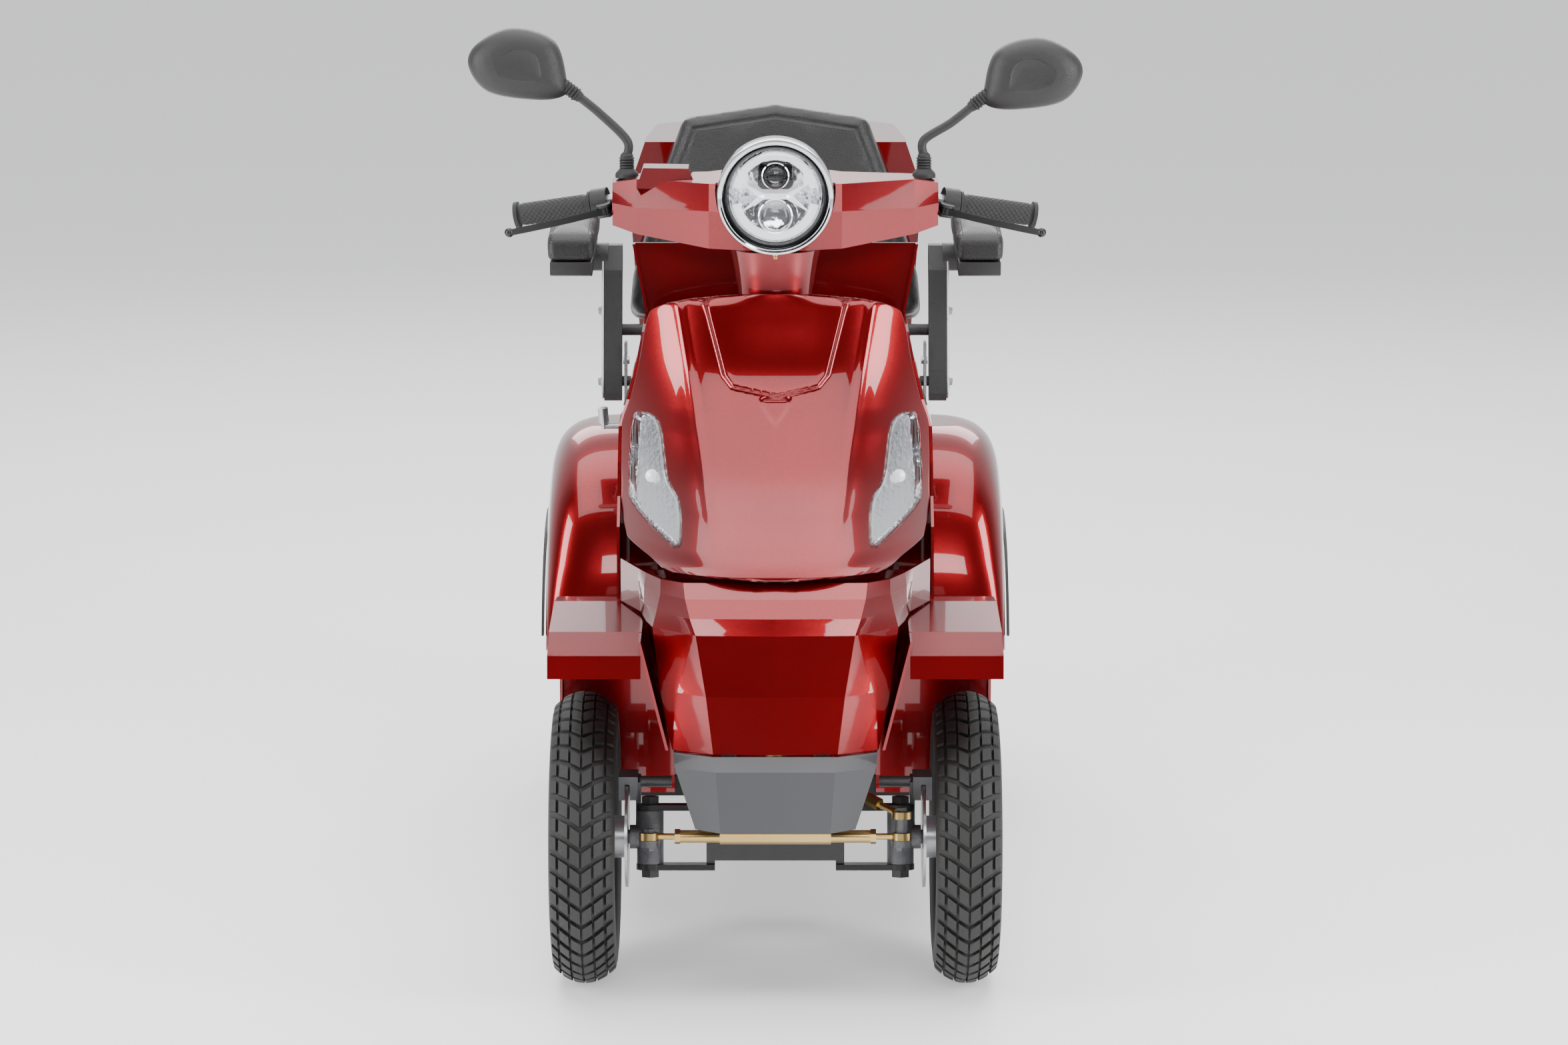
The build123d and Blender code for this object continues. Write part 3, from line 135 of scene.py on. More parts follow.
def make_material(name, dark, light, rough, grain=(800.0, 0.1), smudge=0.12, metal=0.0, coat=0.0,
                  flakes=False, **principled):
    """A material that drifts between two colours, with grain, smudges and an optional clear coat."""
    mat = bpy.data.materials.new(name)
    mat.use_nodes = True
    tree = mat.node_tree
    link = tree.links.new
    shade = tree.nodes["Principled BSDF"]
    group = node(tree, "ShaderNodeGroup")
    group.node_tree = detail
    group.inputs["Grain Scale"].default_value = grain[0]
    group.inputs["Grain Depth"].default_value = grain[1]
    group.inputs["Roughness"].default_value = rough
    group.inputs["Smudge"].default_value = smudge
    mix = node(tree, "ShaderNodeMix", data_type="RGBA")
    mix.inputs[6].default_value = (*dark, 1)
    mix.inputs[7].default_value = (*light, 1)
    link(group.outputs["Drift"], mix.inputs[0])
    if flakes:
        sparkle = node(tree, "ShaderNodeGroup")
        sparkle.node_tree = flake
        blend = node(tree, "ShaderNodeMath", operation="MULTIPLY")
        link(sparkle.outputs["Flake"], blend.inputs[0])
        link(group.outputs["Drift"], blend.inputs[1])
        link(blend.outputs[0], mix.inputs[0])
    link(mix.outputs[2], shade.inputs["Base Color"])
    link(group.outputs["Roughness"], shade.inputs["Roughness"])
    link(group.outputs["Normal"], shade.inputs["Normal"])
    shade.inputs["Metallic"].default_value = metal
    shade.inputs["Coat Weight"].default_value = coat
    shade.inputs["Coat Roughness"].default_value = 0.03
    for key, value in principled.items():
        shade.inputs[key.replace("_", " ")].default_value = value
    return mat


MATS = {
    "red": make_material("red_paint", (0.13, 0.0, 0.002), (0.48, 0.0, 0.006), 0.26, (500, 0.015), 0.05,
                         metal=0.8, coat=1.0, flakes=True),
    "black_gloss": make_material("black_gloss", (0.006, 0.006, 0.007), (0.012, 0.012, 0.013), 0.14, (900, 0.03)),
    "black_plastic": make_material("black_grain", (0.010, 0.010, 0.011), (0.022, 0.022, 0.023), 0.42, (1100, 0.55)),
    "grey_panel": make_material("grey_panel", (0.035, 0.036, 0.04), (0.06, 0.06, 0.065), 0.3, (700, 0.08),
                                metal=0.5, coat=0.3),
    "frame_paint": make_material("frame_black", (0.008, 0.008, 0.009), (0.018, 0.018, 0.019), 0.34, (420, 0.25)),
    "cast_grey": make_material("cast_grey", (0.10, 0.10, 0.105), (0.20, 0.20, 0.21), 0.52, (620, 0.8), metal=0.7),
    "zinc_gold": make_material("zinc_gold", (0.42, 0.25, 0.07), (0.68, 0.50, 0.22), 0.3, (500, 0.1), metal=1.0),
    "tyre": make_material("tyre_rubber", (0.010, 0.010, 0.010), (0.026, 0.025, 0.024), 0.62, (900, 0.4), 0.25),
    "alloy": make_material("alloy", (0.42, 0.43, 0.45), (0.6, 0.61, 0.63), 0.3, (700, 0.08), metal=0.9),
    "chrome": make_material("chrome", (0.75, 0.76, 0.78), (0.86, 0.87, 0.88), 0.06, (300, 0.0), 0.04, metal=1.0),
    "steel": make_material("steel", (0.34, 0.35, 0.36), (0.52, 0.53, 0.55), 0.28, (700, 0.1), metal=1.0),
    "rubber": make_material("rubber", (0.010, 0.010, 0.010), (0.020, 0.020, 0.020), 0.58, (1000, 0.35)),
    "leather": make_material("leather", (0.008, 0.008, 0.009), (0.017, 0.016, 0.017), 0.4, (620, 0.9), 0.2),
    "lens_clear": make_material("clear_lens", (0.97, 0.98, 1.0), (1, 1, 1), 0.02, (400, 0.0), 0.01,
                                Transmission_Weight=1.0, IOR=1.42),
    "lens_red": make_material("red_lens", (0.5, 0.0, 0.0), (0.8, 0.01, 0.01), 0.05, (300, 0.02), 0.02,
                              Transmission_Weight=0.6),
    "battery": make_material("battery_case", (0.02, 0.02, 0.022), (0.035, 0.035, 0.04), 0.5, (700, 0.3)),
    "silver_plate": make_material("silver_cover", (0.42, 0.43, 0.45), (0.6, 0.61, 0.63), 0.32, (900, 0.06),
                                  metal=0.6, coat=0.3),
    "reflector": make_material("reflector", (0.7, 0.71, 0.73), (0.85, 0.86, 0.88), 0.12, (160, 1.0), metal=1.0),
    "lamp_white": make_material("lamp_white", (0.9, 0.92, 0.95), (1, 1, 1), 0.25, (500, 0.02),
                                Emission_Strength=0.9),
    "thread": make_material("thread", (0.012, 0.012, 0.012), (0.03, 0.03, 0.03), 0.6, (2500, 0.6)),
    "mirror_glass": make_material("mirror_glass", (0.85, 0.87, 0.9), (0.9, 0.92, 0.95), 0.02, (300, 0.0), 0.01,
                                  metal=1.0),
}
lamp_shader = MATS["lamp_white"].node_tree.nodes["Principled BSDF"]
lamp_shader.inputs["Emission Color"].default_value = (0.95, 0.97, 1, 1)
print("materials", len(MATS))

# %% [markdown]
# ## CAD nodes that stay
# Each gets its material, and a small bevel modifier so that its edges catch light as moulded and
# painted edges do.

# %% Dress the CAD nodes
bevels = {
    "front_bumper": 3.5, "nose_cover": 4.5, "front_fenders": 4.0, "knee_panel": 1.6, "floor_pan": 2.5,
    "floor_mat": 1.2, "rear_body": 1.6, "trunk_tub": 1.8, "trunk_lid": 1.8, "handlebar_cowl": 3.0,
    "neck_cover": 1.0, "main_frame": 1.2, "seat_pan": 0.8, "back_frame": 1.6, "steering_column": 1.0,
    "left_knuckle": 1.0, "right_knuckle": 1.0, "drag_link": 0.5, "tie_rod": 0.5, "left_brake_lever": 1.4,
    "right_brake_lever": 1.4, "switch_housings": 1.0, "handlebar": 0.8, "front_axle": 1.2, "battery_pack": 2.0,
    "seat_post": 0.8, "tail_lamps": 2.0, "swing_arm": 0.8, "drive_unit": 1.2, "fender_flares": 1.2,
}
recoloured = {"neck_cover": "red", "back_frame": "black_plastic", "headlight_bowl": "black_gloss"}
slot_of = {part["node"]: part["material_slot"] for part in frame["record"]["subparts"]}
for name, obj in frame["nodes"].items():
    material = MATS[recoloured.get(name, slot_of[name])]
    obj.data.materials.clear()
    obj.data.materials.append(material)
    width = bevels.get(name, 1.0 if name.endswith("_rim") else 0)
    if width:
        bevel = obj.modifiers.new("soft_edges", "BEVEL")
        bevel.width = width * MM
        bevel.segments = 3
        bevel.limit_method = "ANGLE"
        bevel.angle_limit = math.radians(28)
        bevel.harden_normals = True
print("dressed", len(frame["nodes"]), "nodes")

# %% [markdown]
# ## Mesh tools
# Points are given in millimetres in the row frame.

# %% Mesh tools


def bake(obj):
    """Applies every modifier to the object's own mesh."""
    graph = bpy.context.evaluated_depsgraph_get()
    mesh = bpy.data.meshes.new_from_object(obj.evaluated_get(graph))
    obj.modifiers.clear()
    old = obj.data
    obj.data = mesh
    bpy.data.meshes.remove(old)
    return obj


def piece(name, verts, faces, material, smooth=35, solid=0, bevel=0, subdivide=0, weld=True):
    """A new mesh object: optional thickness inwards, bevel and subdivision, then smooth shading."""
    mesh = bpy.data.meshes.new(name)
    mesh.from_pydata([tuple(v) for v in np.asarray(verts, float) * MM], [], [tuple(f) for f in faces])
    build = bmesh.new()
    build.from_mesh(mesh)
    if weld:
        bmesh.ops.remove_doubles(build, verts=build.verts, dist=1e-6)
    bmesh.ops.recalc_face_normals(build, faces=build.faces)
    build.to_mesh(mesh)
    build.free()
    mesh.materials.append(MATS[material] if isinstance(material, str) else material)
    obj = bpy.data.objects.new(name, mesh)
    bpy.context.scene.collection.objects.link(obj)
    if solid:
        shell = obj.modifiers.new("shell", "SOLIDIFY")
        shell.thickness = abs(solid) * MM
        shell.offset = -1 if solid > 0 else 1
    if bevel:
        edge = obj.modifiers.new("bevel", "BEVEL")
        edge.width = bevel * MM
        edge.segments = 3
        edge.limit_method = "ANGLE"
    if subdivide:
        sub = obj.modifiers.new("subdivide", "SUBSURF")
        sub.levels = sub.render_levels = subdivide
    if obj.modifiers:
        bpy.context.view_layer.update()
        bake(obj)
    for polygon in obj.data.polygons:
        polygon.use_smooth = True
    obj.data.set_sharp_from_angle(angle=math.radians(smooth))
    return obj


def attach(obj, body, slot, *nodes):
    """The piece rides on a body and may stand for CAD nodes; its slot argument is not used."""
    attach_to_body(obj, body)
    if nodes:
        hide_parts(*nodes)
    return obj


def grid_faces(rows, columns, wrap=False):
    """Quads of a grid of points, row by row; wrap joins each row's end to its start."""
    faces = []
    for i in range(rows - 1):
        for j in range(columns if wrap else columns - 1):
            k = (j + 1) % columns
            faces.append((i * columns + j, i * columns + k, (i + 1) * columns + k, (i + 1) * columns + j))
    return faces


def axis_frame(direction):
    """Three unit vectors: the direction, and two square to it."""
    d = np.asarray(direction, float)
    d = d / np.linalg.norm(d)
    helper = np.array([0.0, 0.0, 1.0]) if abs(d[2]) < 0.9 else np.array([1.0, 0.0, 0.0])
    u = np.cross(helper, d)
    u = u / np.linalg.norm(u)
    return d, u, np.cross(d, u)


def turned(origin, direction, profile, segments=64):
    """Vertices and faces of a profile of (distance along, radius) turned about an axis."""
    d, u, v = axis_frame(direction)
    verts = []
    for along, radius in profile:
        for k in range(segments):
            a = 2 * math.pi * k / segments
            around = u * math.cos(a) + v * math.sin(a)
            verts.append(np.asarray(origin) + d * along + around * max(radius, 0.02))
    return verts, grid_faces(len(profile), segments, wrap=True)


def smooth_path(points, steps=10, closed=False):
    """A Catmull-Rom line through the points."""
    p = np.asarray(points, float)
    count = len(p)
    out = []
    for i in range(count if closed else count - 1):
        if closed:
            a, b, c, d = (p[(i + k) % count] for k in (-1, 0, 1, 2))
        else:
            a, b, c, d = p[max(i - 1, 0)], p[i], p[i + 1], p[min(i + 2, count - 1)]
        for s in range(steps):
            t = s / steps
            out.append(0.5 * (2 * b + (c - a) * t + (2 * a - 5 * b + 4 * c - d) * t**2
                              + (3 * b - a - 3 * c + d) * t**3))
    if not closed:
        out.append(p[-1])
    return np.array(out)


def tube(points, radius, segments=14, closed=False):
    """Vertices and faces of a round tube along a line; the radius may be one per point."""
    p = np.asarray(points, float)
    radii = np.broadcast_to(radius, (len(p),))
    ahead = np.roll(p, -1, 0) - np.roll(p, 1, 0)
    if not closed:
        ahead[0], ahead[-1] = p[1] - p[0], p[-1] - p[-2]
    side = None
    verts = []
    for i in range(len(p)):
        d = ahead[i] / np.linalg.norm(ahead[i])
        side = axis_frame(d)[1] if side is None else side - d * np.dot(side, d)
        side = side / np.linalg.norm(side)
        other = np.cross(d, side)
        for k in range(segments):
            a = 2 * math.pi * k / segments
            verts.append(p[i] + (side * math.cos(a) + other * math.sin(a)) * radii[i])
    faces = grid_faces(len(p), segments, wrap=True)
    last = (len(p) - 1) * segments
    if closed:
        faces += [(last + k, last + (k + 1) % segments, (k + 1) % segments, k) for k in range(segments)]
    else:
        faces += [tuple(range(segments)), tuple(range(last, last + segments))]
    return verts, faces


def joined(*shapes):
    """Several (vertices, faces) pairs as one."""
    verts, faces = [], []
    for shape_verts, shape_faces in shapes:
        base = len(verts)
        verts += list(shape_verts)
        faces += [tuple(i + base for i in face) for face in shape_faces]
    return verts, faces


def slab(points, direction, thickness):
    """A flat outline in space given a thickness."""
    p = np.asarray(points, float)
    shift = np.asarray(direction, float) * thickness
    n = len(p)
    faces = [tuple(range(n)), tuple(range(n, 2 * n))]
    faces += [(i, (i + 1) % n, n + (i + 1) % n, n + i) for i in range(n)]
    return list(p) + list(p + shift), faces


def bolt(at, direction, flats=12.0, height=7.0, washer=8.5):
    """A hexagonal bolt head on a round washer with a domed top."""
    d, u, v = axis_frame(direction)
    at = np.asarray(at, float)
    base, ring = turned(at, d, [(0, 0), (0, washer), (1.4, washer), (1.6, washer - 0.5), (1.6, 0)], 32)
    radius = flats / math.sqrt(3)
    head = []
    for along, scale in ((1.5, 1.0), (height - 1, 1.0), (height, 0.86)):
        for k in range(6):
            a = math.pi * k / 3
            head.append(at + d * along + (u * math.cos(a) + v * math.sin(a)) * radius * scale)
    return joined((base, ring), (head, grid_faces(3, 6, wrap=True) + [tuple(range(6)), tuple(range(12, 18))]))


def between(x, xs, ys):
    """A smooth interpolation through a table, with no overshoot."""
    xs, ys = np.asarray(xs, float), np.asarray(ys, float)
    slope = np.diff(ys) / np.diff(xs)
    m = np.zeros_like(ys)
    m[0], m[-1] = slope[0], slope[-1]
    same = slope[:-1] * slope[1:] > 0
    m[1:-1] = np.where(same, 2 * slope[:-1] * slope[1:] / np.where(same, slope[:-1] + slope[1:], 1), 0)
    x = np.clip(x, xs[0], xs[-1])
    i = np.clip(np.searchsorted(xs, x) - 1, 0, len(xs) - 2)
    h = xs[i + 1] - xs[i]
    t = (x - xs[i]) / h
    return (ys[i] * (1 + 2 * t) * (1 - t) ** 2 + m[i] * h * t * (1 - t) ** 2
            + ys[i + 1] * t * t * (3 - 2 * t) + m[i + 1] * h * t * t * (t - 1))


def step(x, low, high):
    """A smooth step from 0 at low to 1 at high."""
    t = np.clip((np.asarray(x, float) - low) / (high - low), 0, 1)
    return t * t * (3 - 2 * t)


def inside_depth(x, z, outline):
    """Signed distance of points from a closed outline: positive inside."""
    pts = np.asarray(outline, float)
    x, z = np.asarray(x, float), np.asarray(z, float)
    best = np.full(x.shape, 1e9)
    crossings = np.zeros(x.shape, bool)
    for (ax, az), (bx, bz) in zip(pts, np.roll(pts, -1, 0)):
        ex, ez = bx - ax, bz - az
        t = np.clip(((x - ax) * ex + (z - az) * ez) / (ex * ex + ez * ez), 0, 1)
        best = np.minimum(best, np.hypot(x - ax - t * ex, z - az - t * ez))
        if az != bz:
            crossings ^= ((az > z) != (bz > z)) & (x < (bx - ax) * (z - az) / (bz - az) + ax)
    return np.where(crossings, best, -best)


# %% Geometry node groups for repeats


def geometry_group(name, sockets):
    """A geometry node group that takes a geometry and the given sockets."""
    group = bpy.data.node_groups.new(name, "GeometryNodeTree")
    group.interface.new_socket(name="Geometry", in_out="OUTPUT", socket_type="NodeSocketGeometry")
    group.interface.new_socket(name="Geometry", in_out="INPUT", socket_type="NodeSocketGeometry")
    for label, kind in sockets:
        group.interface.new_socket(name=label, in_out="INPUT", socket_type=kind)
    return group, node(group, "NodeGroupInput"), node(group, "NodeGroupOutput")


wheel_repeat, given, result = geometry_group(
    "wheel_repeat", [("Count", "NodeSocketInt"), ("Material", "NodeSocketMaterial")]
)
link = wheel_repeat.links.new
points = node(wheel_repeat, "GeometryNodePoints")
index = node(wheel_repeat, "GeometryNodeInputIndex")
share = node(wheel_repeat, "ShaderNodeMath", operation="DIVIDE")
angle = node(wheel_repeat, "ShaderNodeMath", operation="MULTIPLY")
angle.inputs[1].default_value = 2 * math.pi
euler = node(wheel_repeat, "ShaderNodeCombineXYZ")
turn = node(wheel_repeat, "FunctionNodeEulerToRotation")
copies = node(wheel_repeat, "GeometryNodeInstanceOnPoints")
real = node(wheel_repeat, "GeometryNodeRealizeInstances")
paint = node(wheel_repeat, "GeometryNodeSetMaterial")
link(given.outputs["Count"], points.inputs["Count"])
link(index.outputs[0], share.inputs[0])
link(given.outputs["Count"], share.inputs[1])
link(share.outputs[0], angle.inputs[0])
link(angle.outputs[0], euler.inputs["X"])
link(euler.outputs[0], turn.inputs[0])
link(points.outputs[0], copies.inputs["Points"])
link(given.outputs["Geometry"], copies.inputs["Instance"])
link(turn.outputs[0], copies.inputs["Rotation"])
link(copies.outputs[0], real.inputs[0])
link(real.outputs[0], paint.inputs["Geometry"])
link(given.outputs["Material"], paint.inputs["Material"])
link(paint.outputs[0], result.inputs[0])

stitch_run, given, result = geometry_group(
    "stitch_run", [("Pitch", "NodeSocketFloat"), ("Length", "NodeSocketFloat"), ("Radius", "NodeSocketFloat"),
                   ("Material", "NodeSocketMaterial")]
)
link = stitch_run.links.new
along = node(stitch_run, "GeometryNodeCurveToPoints", mode="LENGTH")
thread = node(stitch_run, "GeometryNodeMeshCylinder", Vertices=6)
copies = node(stitch_run, "GeometryNodeInstanceOnPoints")
real = node(stitch_run, "GeometryNodeRealizeInstances")
paint = node(stitch_run, "GeometryNodeSetMaterial")
link(given.outputs["Geometry"], along.inputs["Curve"])
link(given.outputs["Pitch"], along.inputs["Length"])
link(given.outputs["Radius"], thread.inputs["Radius"])
link(given.outputs["Length"], thread.inputs["Depth"])
link(along.outputs["Points"], copies.inputs["Points"])
link(thread.outputs["Mesh"], copies.inputs["Instance"])
link(along.outputs["Rotation"], copies.inputs["Rotation"])
link(copies.outputs[0], real.inputs[0])
link(real.outputs[0], paint.inputs["Geometry"])
link(given.outputs["Material"], paint.inputs["Material"])
link(paint.outputs[0], result.inputs[0])


def run_nodes(obj, group, **values):
    """Applies a geometry node group with its inputs set by name, and returns a plain mesh object."""
    names = {item.name: item.identifier for item in group.interface.items_tree if item.in_out == "INPUT"}
    modifier = obj.modifiers.new("repeat", "NODES")
    modifier.node_group = group
    for key, value in values.items():
        modifier[names[key]] = value
    bpy.context.view_layer.update()
    graph = bpy.context.evaluated_depsgraph_get()
    mesh = bpy.data.meshes.new_from_object(obj.evaluated_get(graph))
    made = bpy.data.objects.new(obj.name + "_run", mesh)
    bpy.context.scene.collection.objects.link(made)
    old = obj.data
    bpy.data.objects.remove(obj)
    if old.users == 0:
        (bpy.data.meshes if isinstance(old, bpy.types.Mesh) else bpy.data.curves).remove(old)
    return made


def stitches(name, points, pitch=6.0, length=4.2, radius=0.55, closed=True):
    """Thread stitches laid along a line."""
    curve = bpy.data.curves.new(name, "CURVE")
    curve.dimensions = "3D"
    spline = curve.splines.new("POLY")
    spline.points.add(len(points) - 1)
    for target, p in zip(spline.points, np.asarray(points, float) * MM):
        target.co = (*p, 1)
    spline.use_cyclic_u = closed
    obj = bpy.data.objects.new(name + "_curve", curve)
    bpy.context.scene.collection.objects.link(obj)
    made = run_nodes(obj, stitch_run, Pitch=pitch * MM, Length=length * MM, Radius=radius * MM,
                     Material=MATS["thread"])
    made.name = name
    return made


print("mesh tools ready")

# %% [markdown]
# ## Wheels
# A lathed carcass carries tread blocks: one pitch of the directional pattern is built and repeated
# round the tyre.

# %% Tyres
PITCHES = 45
TREAD_DEPTH = 6.0
TYRE_R = (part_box("front_left_tyre")[1].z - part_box("front_left_tyre")[0].z) / MM / 2
TREAD_BLOCKS = [
    # corner points as (distance from the middle, distance round the tyre)
    [(1.3, 0), (15, 9), (15, 31), (1.3, 21)],
    [(18, 13), (31, 21), (31, 41), (18, 33)],
    [(34.5, 24), (43.5, 28), (43.5, 47), (34.5, 43)],
]


def crown(x):
    """Radius of the tread surface at a distance from the middle of the tyre."""
    return TYRE_R - 0.4 - 19.0 * (np.abs(x) / 41.5) ** 2.15


def tread_pitch():
    """One pitch of tread blocks round the X axis, as a mesh object at the origin."""
    shapes = []
    for side in (1, -1):
        for corners in TREAD_BLOCKS:
            c = np.array(corners, float)
            middle = c.mean(0)
            rings = []
            for inset, sink in ((0.55, 0.0), (0.0, 0.6), (-0.35, TREAD_DEPTH + 2)):
                line = []
                shrink = c + (middle - c) / np.linalg.norm(middle - c, axis=1)[:, None] * inset * 1.4
                for a, b in zip(shrink, np.roll(shrink, -1, 0)):
                    for t in (0, 0.25, 0.5, 0.75):
                        x, s = a + (b - a) * t
                        r = crown(x) - sink
                        phi = s / TYRE_R
                        line.append((side * x, r * math.sin(phi), r * math.cos(phi)))
                rings.append(line)
            n = len(rings[0])
            verts = [p for line in rings for p in line]
            x, s = middle
            r = crown(x)
            verts.append((side * x, r * math.sin(s / TYRE_R), r * math.cos(s / TYRE_R)))
            faces = grid_faces(3, n, wrap=True) + [(i, (i + 1) % n, len(verts) - 1) for i in range(n)]
            shapes.append((verts, faces))
    verts, faces = joined(*shapes)
    return piece("tread_pitch", verts, faces, "tyre", smooth=30)


def carcass():
    """The tyre under its tread, turned about the X axis."""
    half = [(26, 128), (29, 129), (30.5, 133), (30.5, 139), (33, 141.5), (37.5, 144), (38.4, 145.2), (39.6, 146),
            (43.6, 154), (45.4, 160), (46, 163), (46.4, 163.6), (46.4, 164.8), (46, 165.6), (45.6, 171),
            (44.9, 176), (45.2, 177), (45.0, 178.6), (44.2, 180), (43, 183), (41, crown(41) - TREAD_DEPTH + 1)]
    half += [(x, crown(x) - TREAD_DEPTH) for x in (36, 30, 22, 14, 7, 0)]
    profile = half + [(-x, r) for x, r in reversed(half[:-1])]
    return turned((0, 0, 0), (1, 0, 0), profile, 144)


def make_tyre(name, body, node_name):
    """A carcass with its tread, moved to a CAD tyre's centre and joined into one piece."""
    low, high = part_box(node_name)
    centre = (low + high) / 2
    tread = run_nodes(tread_pitch(), wheel_repeat, Count=PITCHES, Material=MATS["tyre"])
    base = piece(name, *carcass(), "tyre", smooth=50)
    for obj in (base, tread):
        obj.data.transform(Matrix.Translation(centre))
    bpy.ops.object.select_all(action="DESELECT")
    for obj in (tread, base):
        obj.select_set(True)
    bpy.context.view_layer.objects.active = base
    bpy.ops.object.join()
    return attach(base, body, "tyre", node_name)


for end in ("front", "rear"):
    for side in ("left", "right"):
        made = make_tyre(f"{end}_{side}_tyre_tread", f"{end}_{side}_wheel", f"{end}_{side}_tyre")
print("tyres", len(made.data.polygons), "faces each")

# %% [markdown]
# ## Hood
# One dense surface: a raised blank shield, two long creases, a small V under the shield and two
# recesses that hold the turn lamps behind fluted lenses.

# %% Hood surface
HOOD_ROWS = np.array([
    # height, half width, edge and middle as distances behind the front axle
    (604, 30, -124.5, -125), (608, 140, -80, -123), (618, 177, -10, -114), (635, 212, 70, -92),
    (675, 222, 140, -38), (720, 222, 160, 20), (770, 221, 180, 64), (807, 210, 190, 92),
    (863, 196, 200, 128), (930, 181.5, 210, 156), (945, 158, 200, 162), (958, 90, 184, 167), (964, 30, 172, 169),
])
AXLE_Y = (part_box("front_left_tyre")[0].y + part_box("front_left_tyre")[1].y) / MM / 2
SHIELD = [(-112, 985), (112, 985), (104, 957), (76, 852), (62, 836), (3, 824), (-62, 836), (-75, 852), (-104, 957)]
LAMP = smooth_path([(203, 786), (190, 794), (172, 789), (163, 772), (154, 716), (136, 688), (133, 645),
                    (140, 637), (152, 641), (200, 671), (208, 694), (207, 740)], 6, closed=True)


def hood_relief(x, z):
    """How far the hood's surface stands forward of its plain shape."""
    crease = 88 + (135 - 88) * (z - 690) / 260
    outboard = step(np.abs(x), crease - 5, crease + 4)
    fade = step(z, 628, 700)
    relief = -3.2 * fade * (1 - outboard)
    relief += 1.6 * fade * np.exp(-((np.abs(x) - crease - 7) / 6.0) ** 2)
    depth = inside_depth(x, z, SHIELD)
    relief += 5.4 * step(depth, -1.5, 5)
    relief += 0.9 * np.exp(-((depth - 4) / 3.0) ** 2)
    width = 26 * step(z, 772, 824)
    relief -= 4.0 * step(width - np.abs(x), 0, 9) * step(824 - z, 0, 6) * step(z, 772, 800)
    relief -= 2.4 * np.exp(-((x / 46.0) ** 2)) * step(800 - z, 0, 90)
    return relief


def hood_point(s, z):
    """A point of the plain hood: s runs from -1 to 1 across it at a height."""
    w = between(z, HOOD_ROWS[:, 0], HOOD_ROWS[:, 1])
    edge = between(z, HOOD_ROWS[:, 0], HOOD_ROWS[:, 2])
    middle = between(z, HOOD_ROWS[:, 0], HOOD_ROWS[:, 3])
    return w * s, AXLE_Y + middle + (edge - middle) * np.abs(s) ** 2.6


heights = np.concatenate([np.linspace(604, 640, 26)[:-1], np.linspace(640, 925, 118)[:-1],
                          np.linspace(925, 964, 26)])
across = np.linspace(-1, 1, 181)
across = np.sign(across) * (1 - (1 - np.abs(across)) ** 1.15)
S, Z = np.meshgrid(across, heights)
X, Y = hood_point(S, Z)
lamp_depth = inside_depth(np.abs(X), Z, LAMP)
Y = Y - hood_relief(X, Z) + 13.0 * step(lamp_depth, 0.2, 2.6)
hood_verts = np.stack([X, Y, Z], -1).reshape(-1, 3)
hood_faces = grid_faces(len(heights), len(across))
hood = piece("hood_panel", hood_verts, hood_faces, "red", smooth=60, weld=False)
hood.data.materials.append(MATS["reflector"])
centres = np.empty(len(hood.data.polygons) * 3)
hood.data.polygons.foreach_get("center", centres)
centres = centres.reshape(-1, 3) / MM
in_lamp = inside_depth(np.abs(centres[:, 0]), centres[:, 2], LAMP) > 1.6
hood.data.polygons.foreach_set("material_index", in_lamp.astype(np.int32))
shell = hood.modifiers.new("shell", "SOLIDIFY")
shell.thickness = 3.5 * MM
shell.offset = -1 if hood.data.polygons[len(hood.data.polygons) // 2].normal.y < 0 else 1
bpy.context.view_layer.update()
bake(hood)
attach(hood, "chassis", "red", "front_hood")
print("hood", len(hood.data.polygons), "faces")

# %% Turn lamp lenses, their rims and bulbs


def hood_y(x, z):
    """The plain hood's depth at a point of the front view."""
    w = between(z, HOOD_ROWS[:, 0], HOOD_ROWS[:, 1])
    return hood_point(np.clip(x / w, -1, 1), z)[1]


for side, name in ((1, "left"), (-1, "right")):
    gx, gz = np.meshgrid(np.linspace(130, 209, 100), np.linspace(632, 796, 110))
    depth = inside_depth(gx, gz, LAMP)
    flute = 0.9 * np.abs(np.sin(math.pi * (gx - 0.10 * gz) / 7.5)) * step(depth, 1, 5)
    gy = hood_y(gx, gz) - 1.2 - flute - 1.8 * step(depth, 0, 5)
    keep = (depth > -0.6).reshape(-1)
    faces = [f for f in grid_faces(110, 100) if all(keep[i] for i in f)]
    used = sorted({i for f in faces for i in f})
    order = {old: new for new, old in enumerate(used)}
    verts = np.stack([gx * side, gy, gz], -1).reshape(-1, 3)[used]
    lens = piece(f"{name}_turn_lens", verts, [[order[i] for i in f] for f in faces], "lens_clear", solid=1.6)
    attach(lens, "chassis", "lens_clear", *(["turn_lenses"] if side > 0 else []))
    ring = smooth_path([(side * x, hood_y(x, z) - 1.6, z) for x, z in LAMP[::3]], 4, closed=True)
    rim = piece(f"{name}_turn_rim", *tube(ring, 1.9, 10, closed=True), "lens_clear")
    attach(rim, "chassis", "lens_clear")
    y = float(hood_y(np.array([172.0]), np.array([722.0]))[0])
    bulb = piece(f"{name}_turn_bulb", *turned((side * 176, y + 9, 712), (0, -1, 0),
                 [(0, 0), (0, 9), (4, 9), (5, 7), (9, 6), (11, 3), (11.5, 0)], 32), "lamp_white")
    attach(bulb, "chassis", "lens_clear")
print("turn lamps ready")
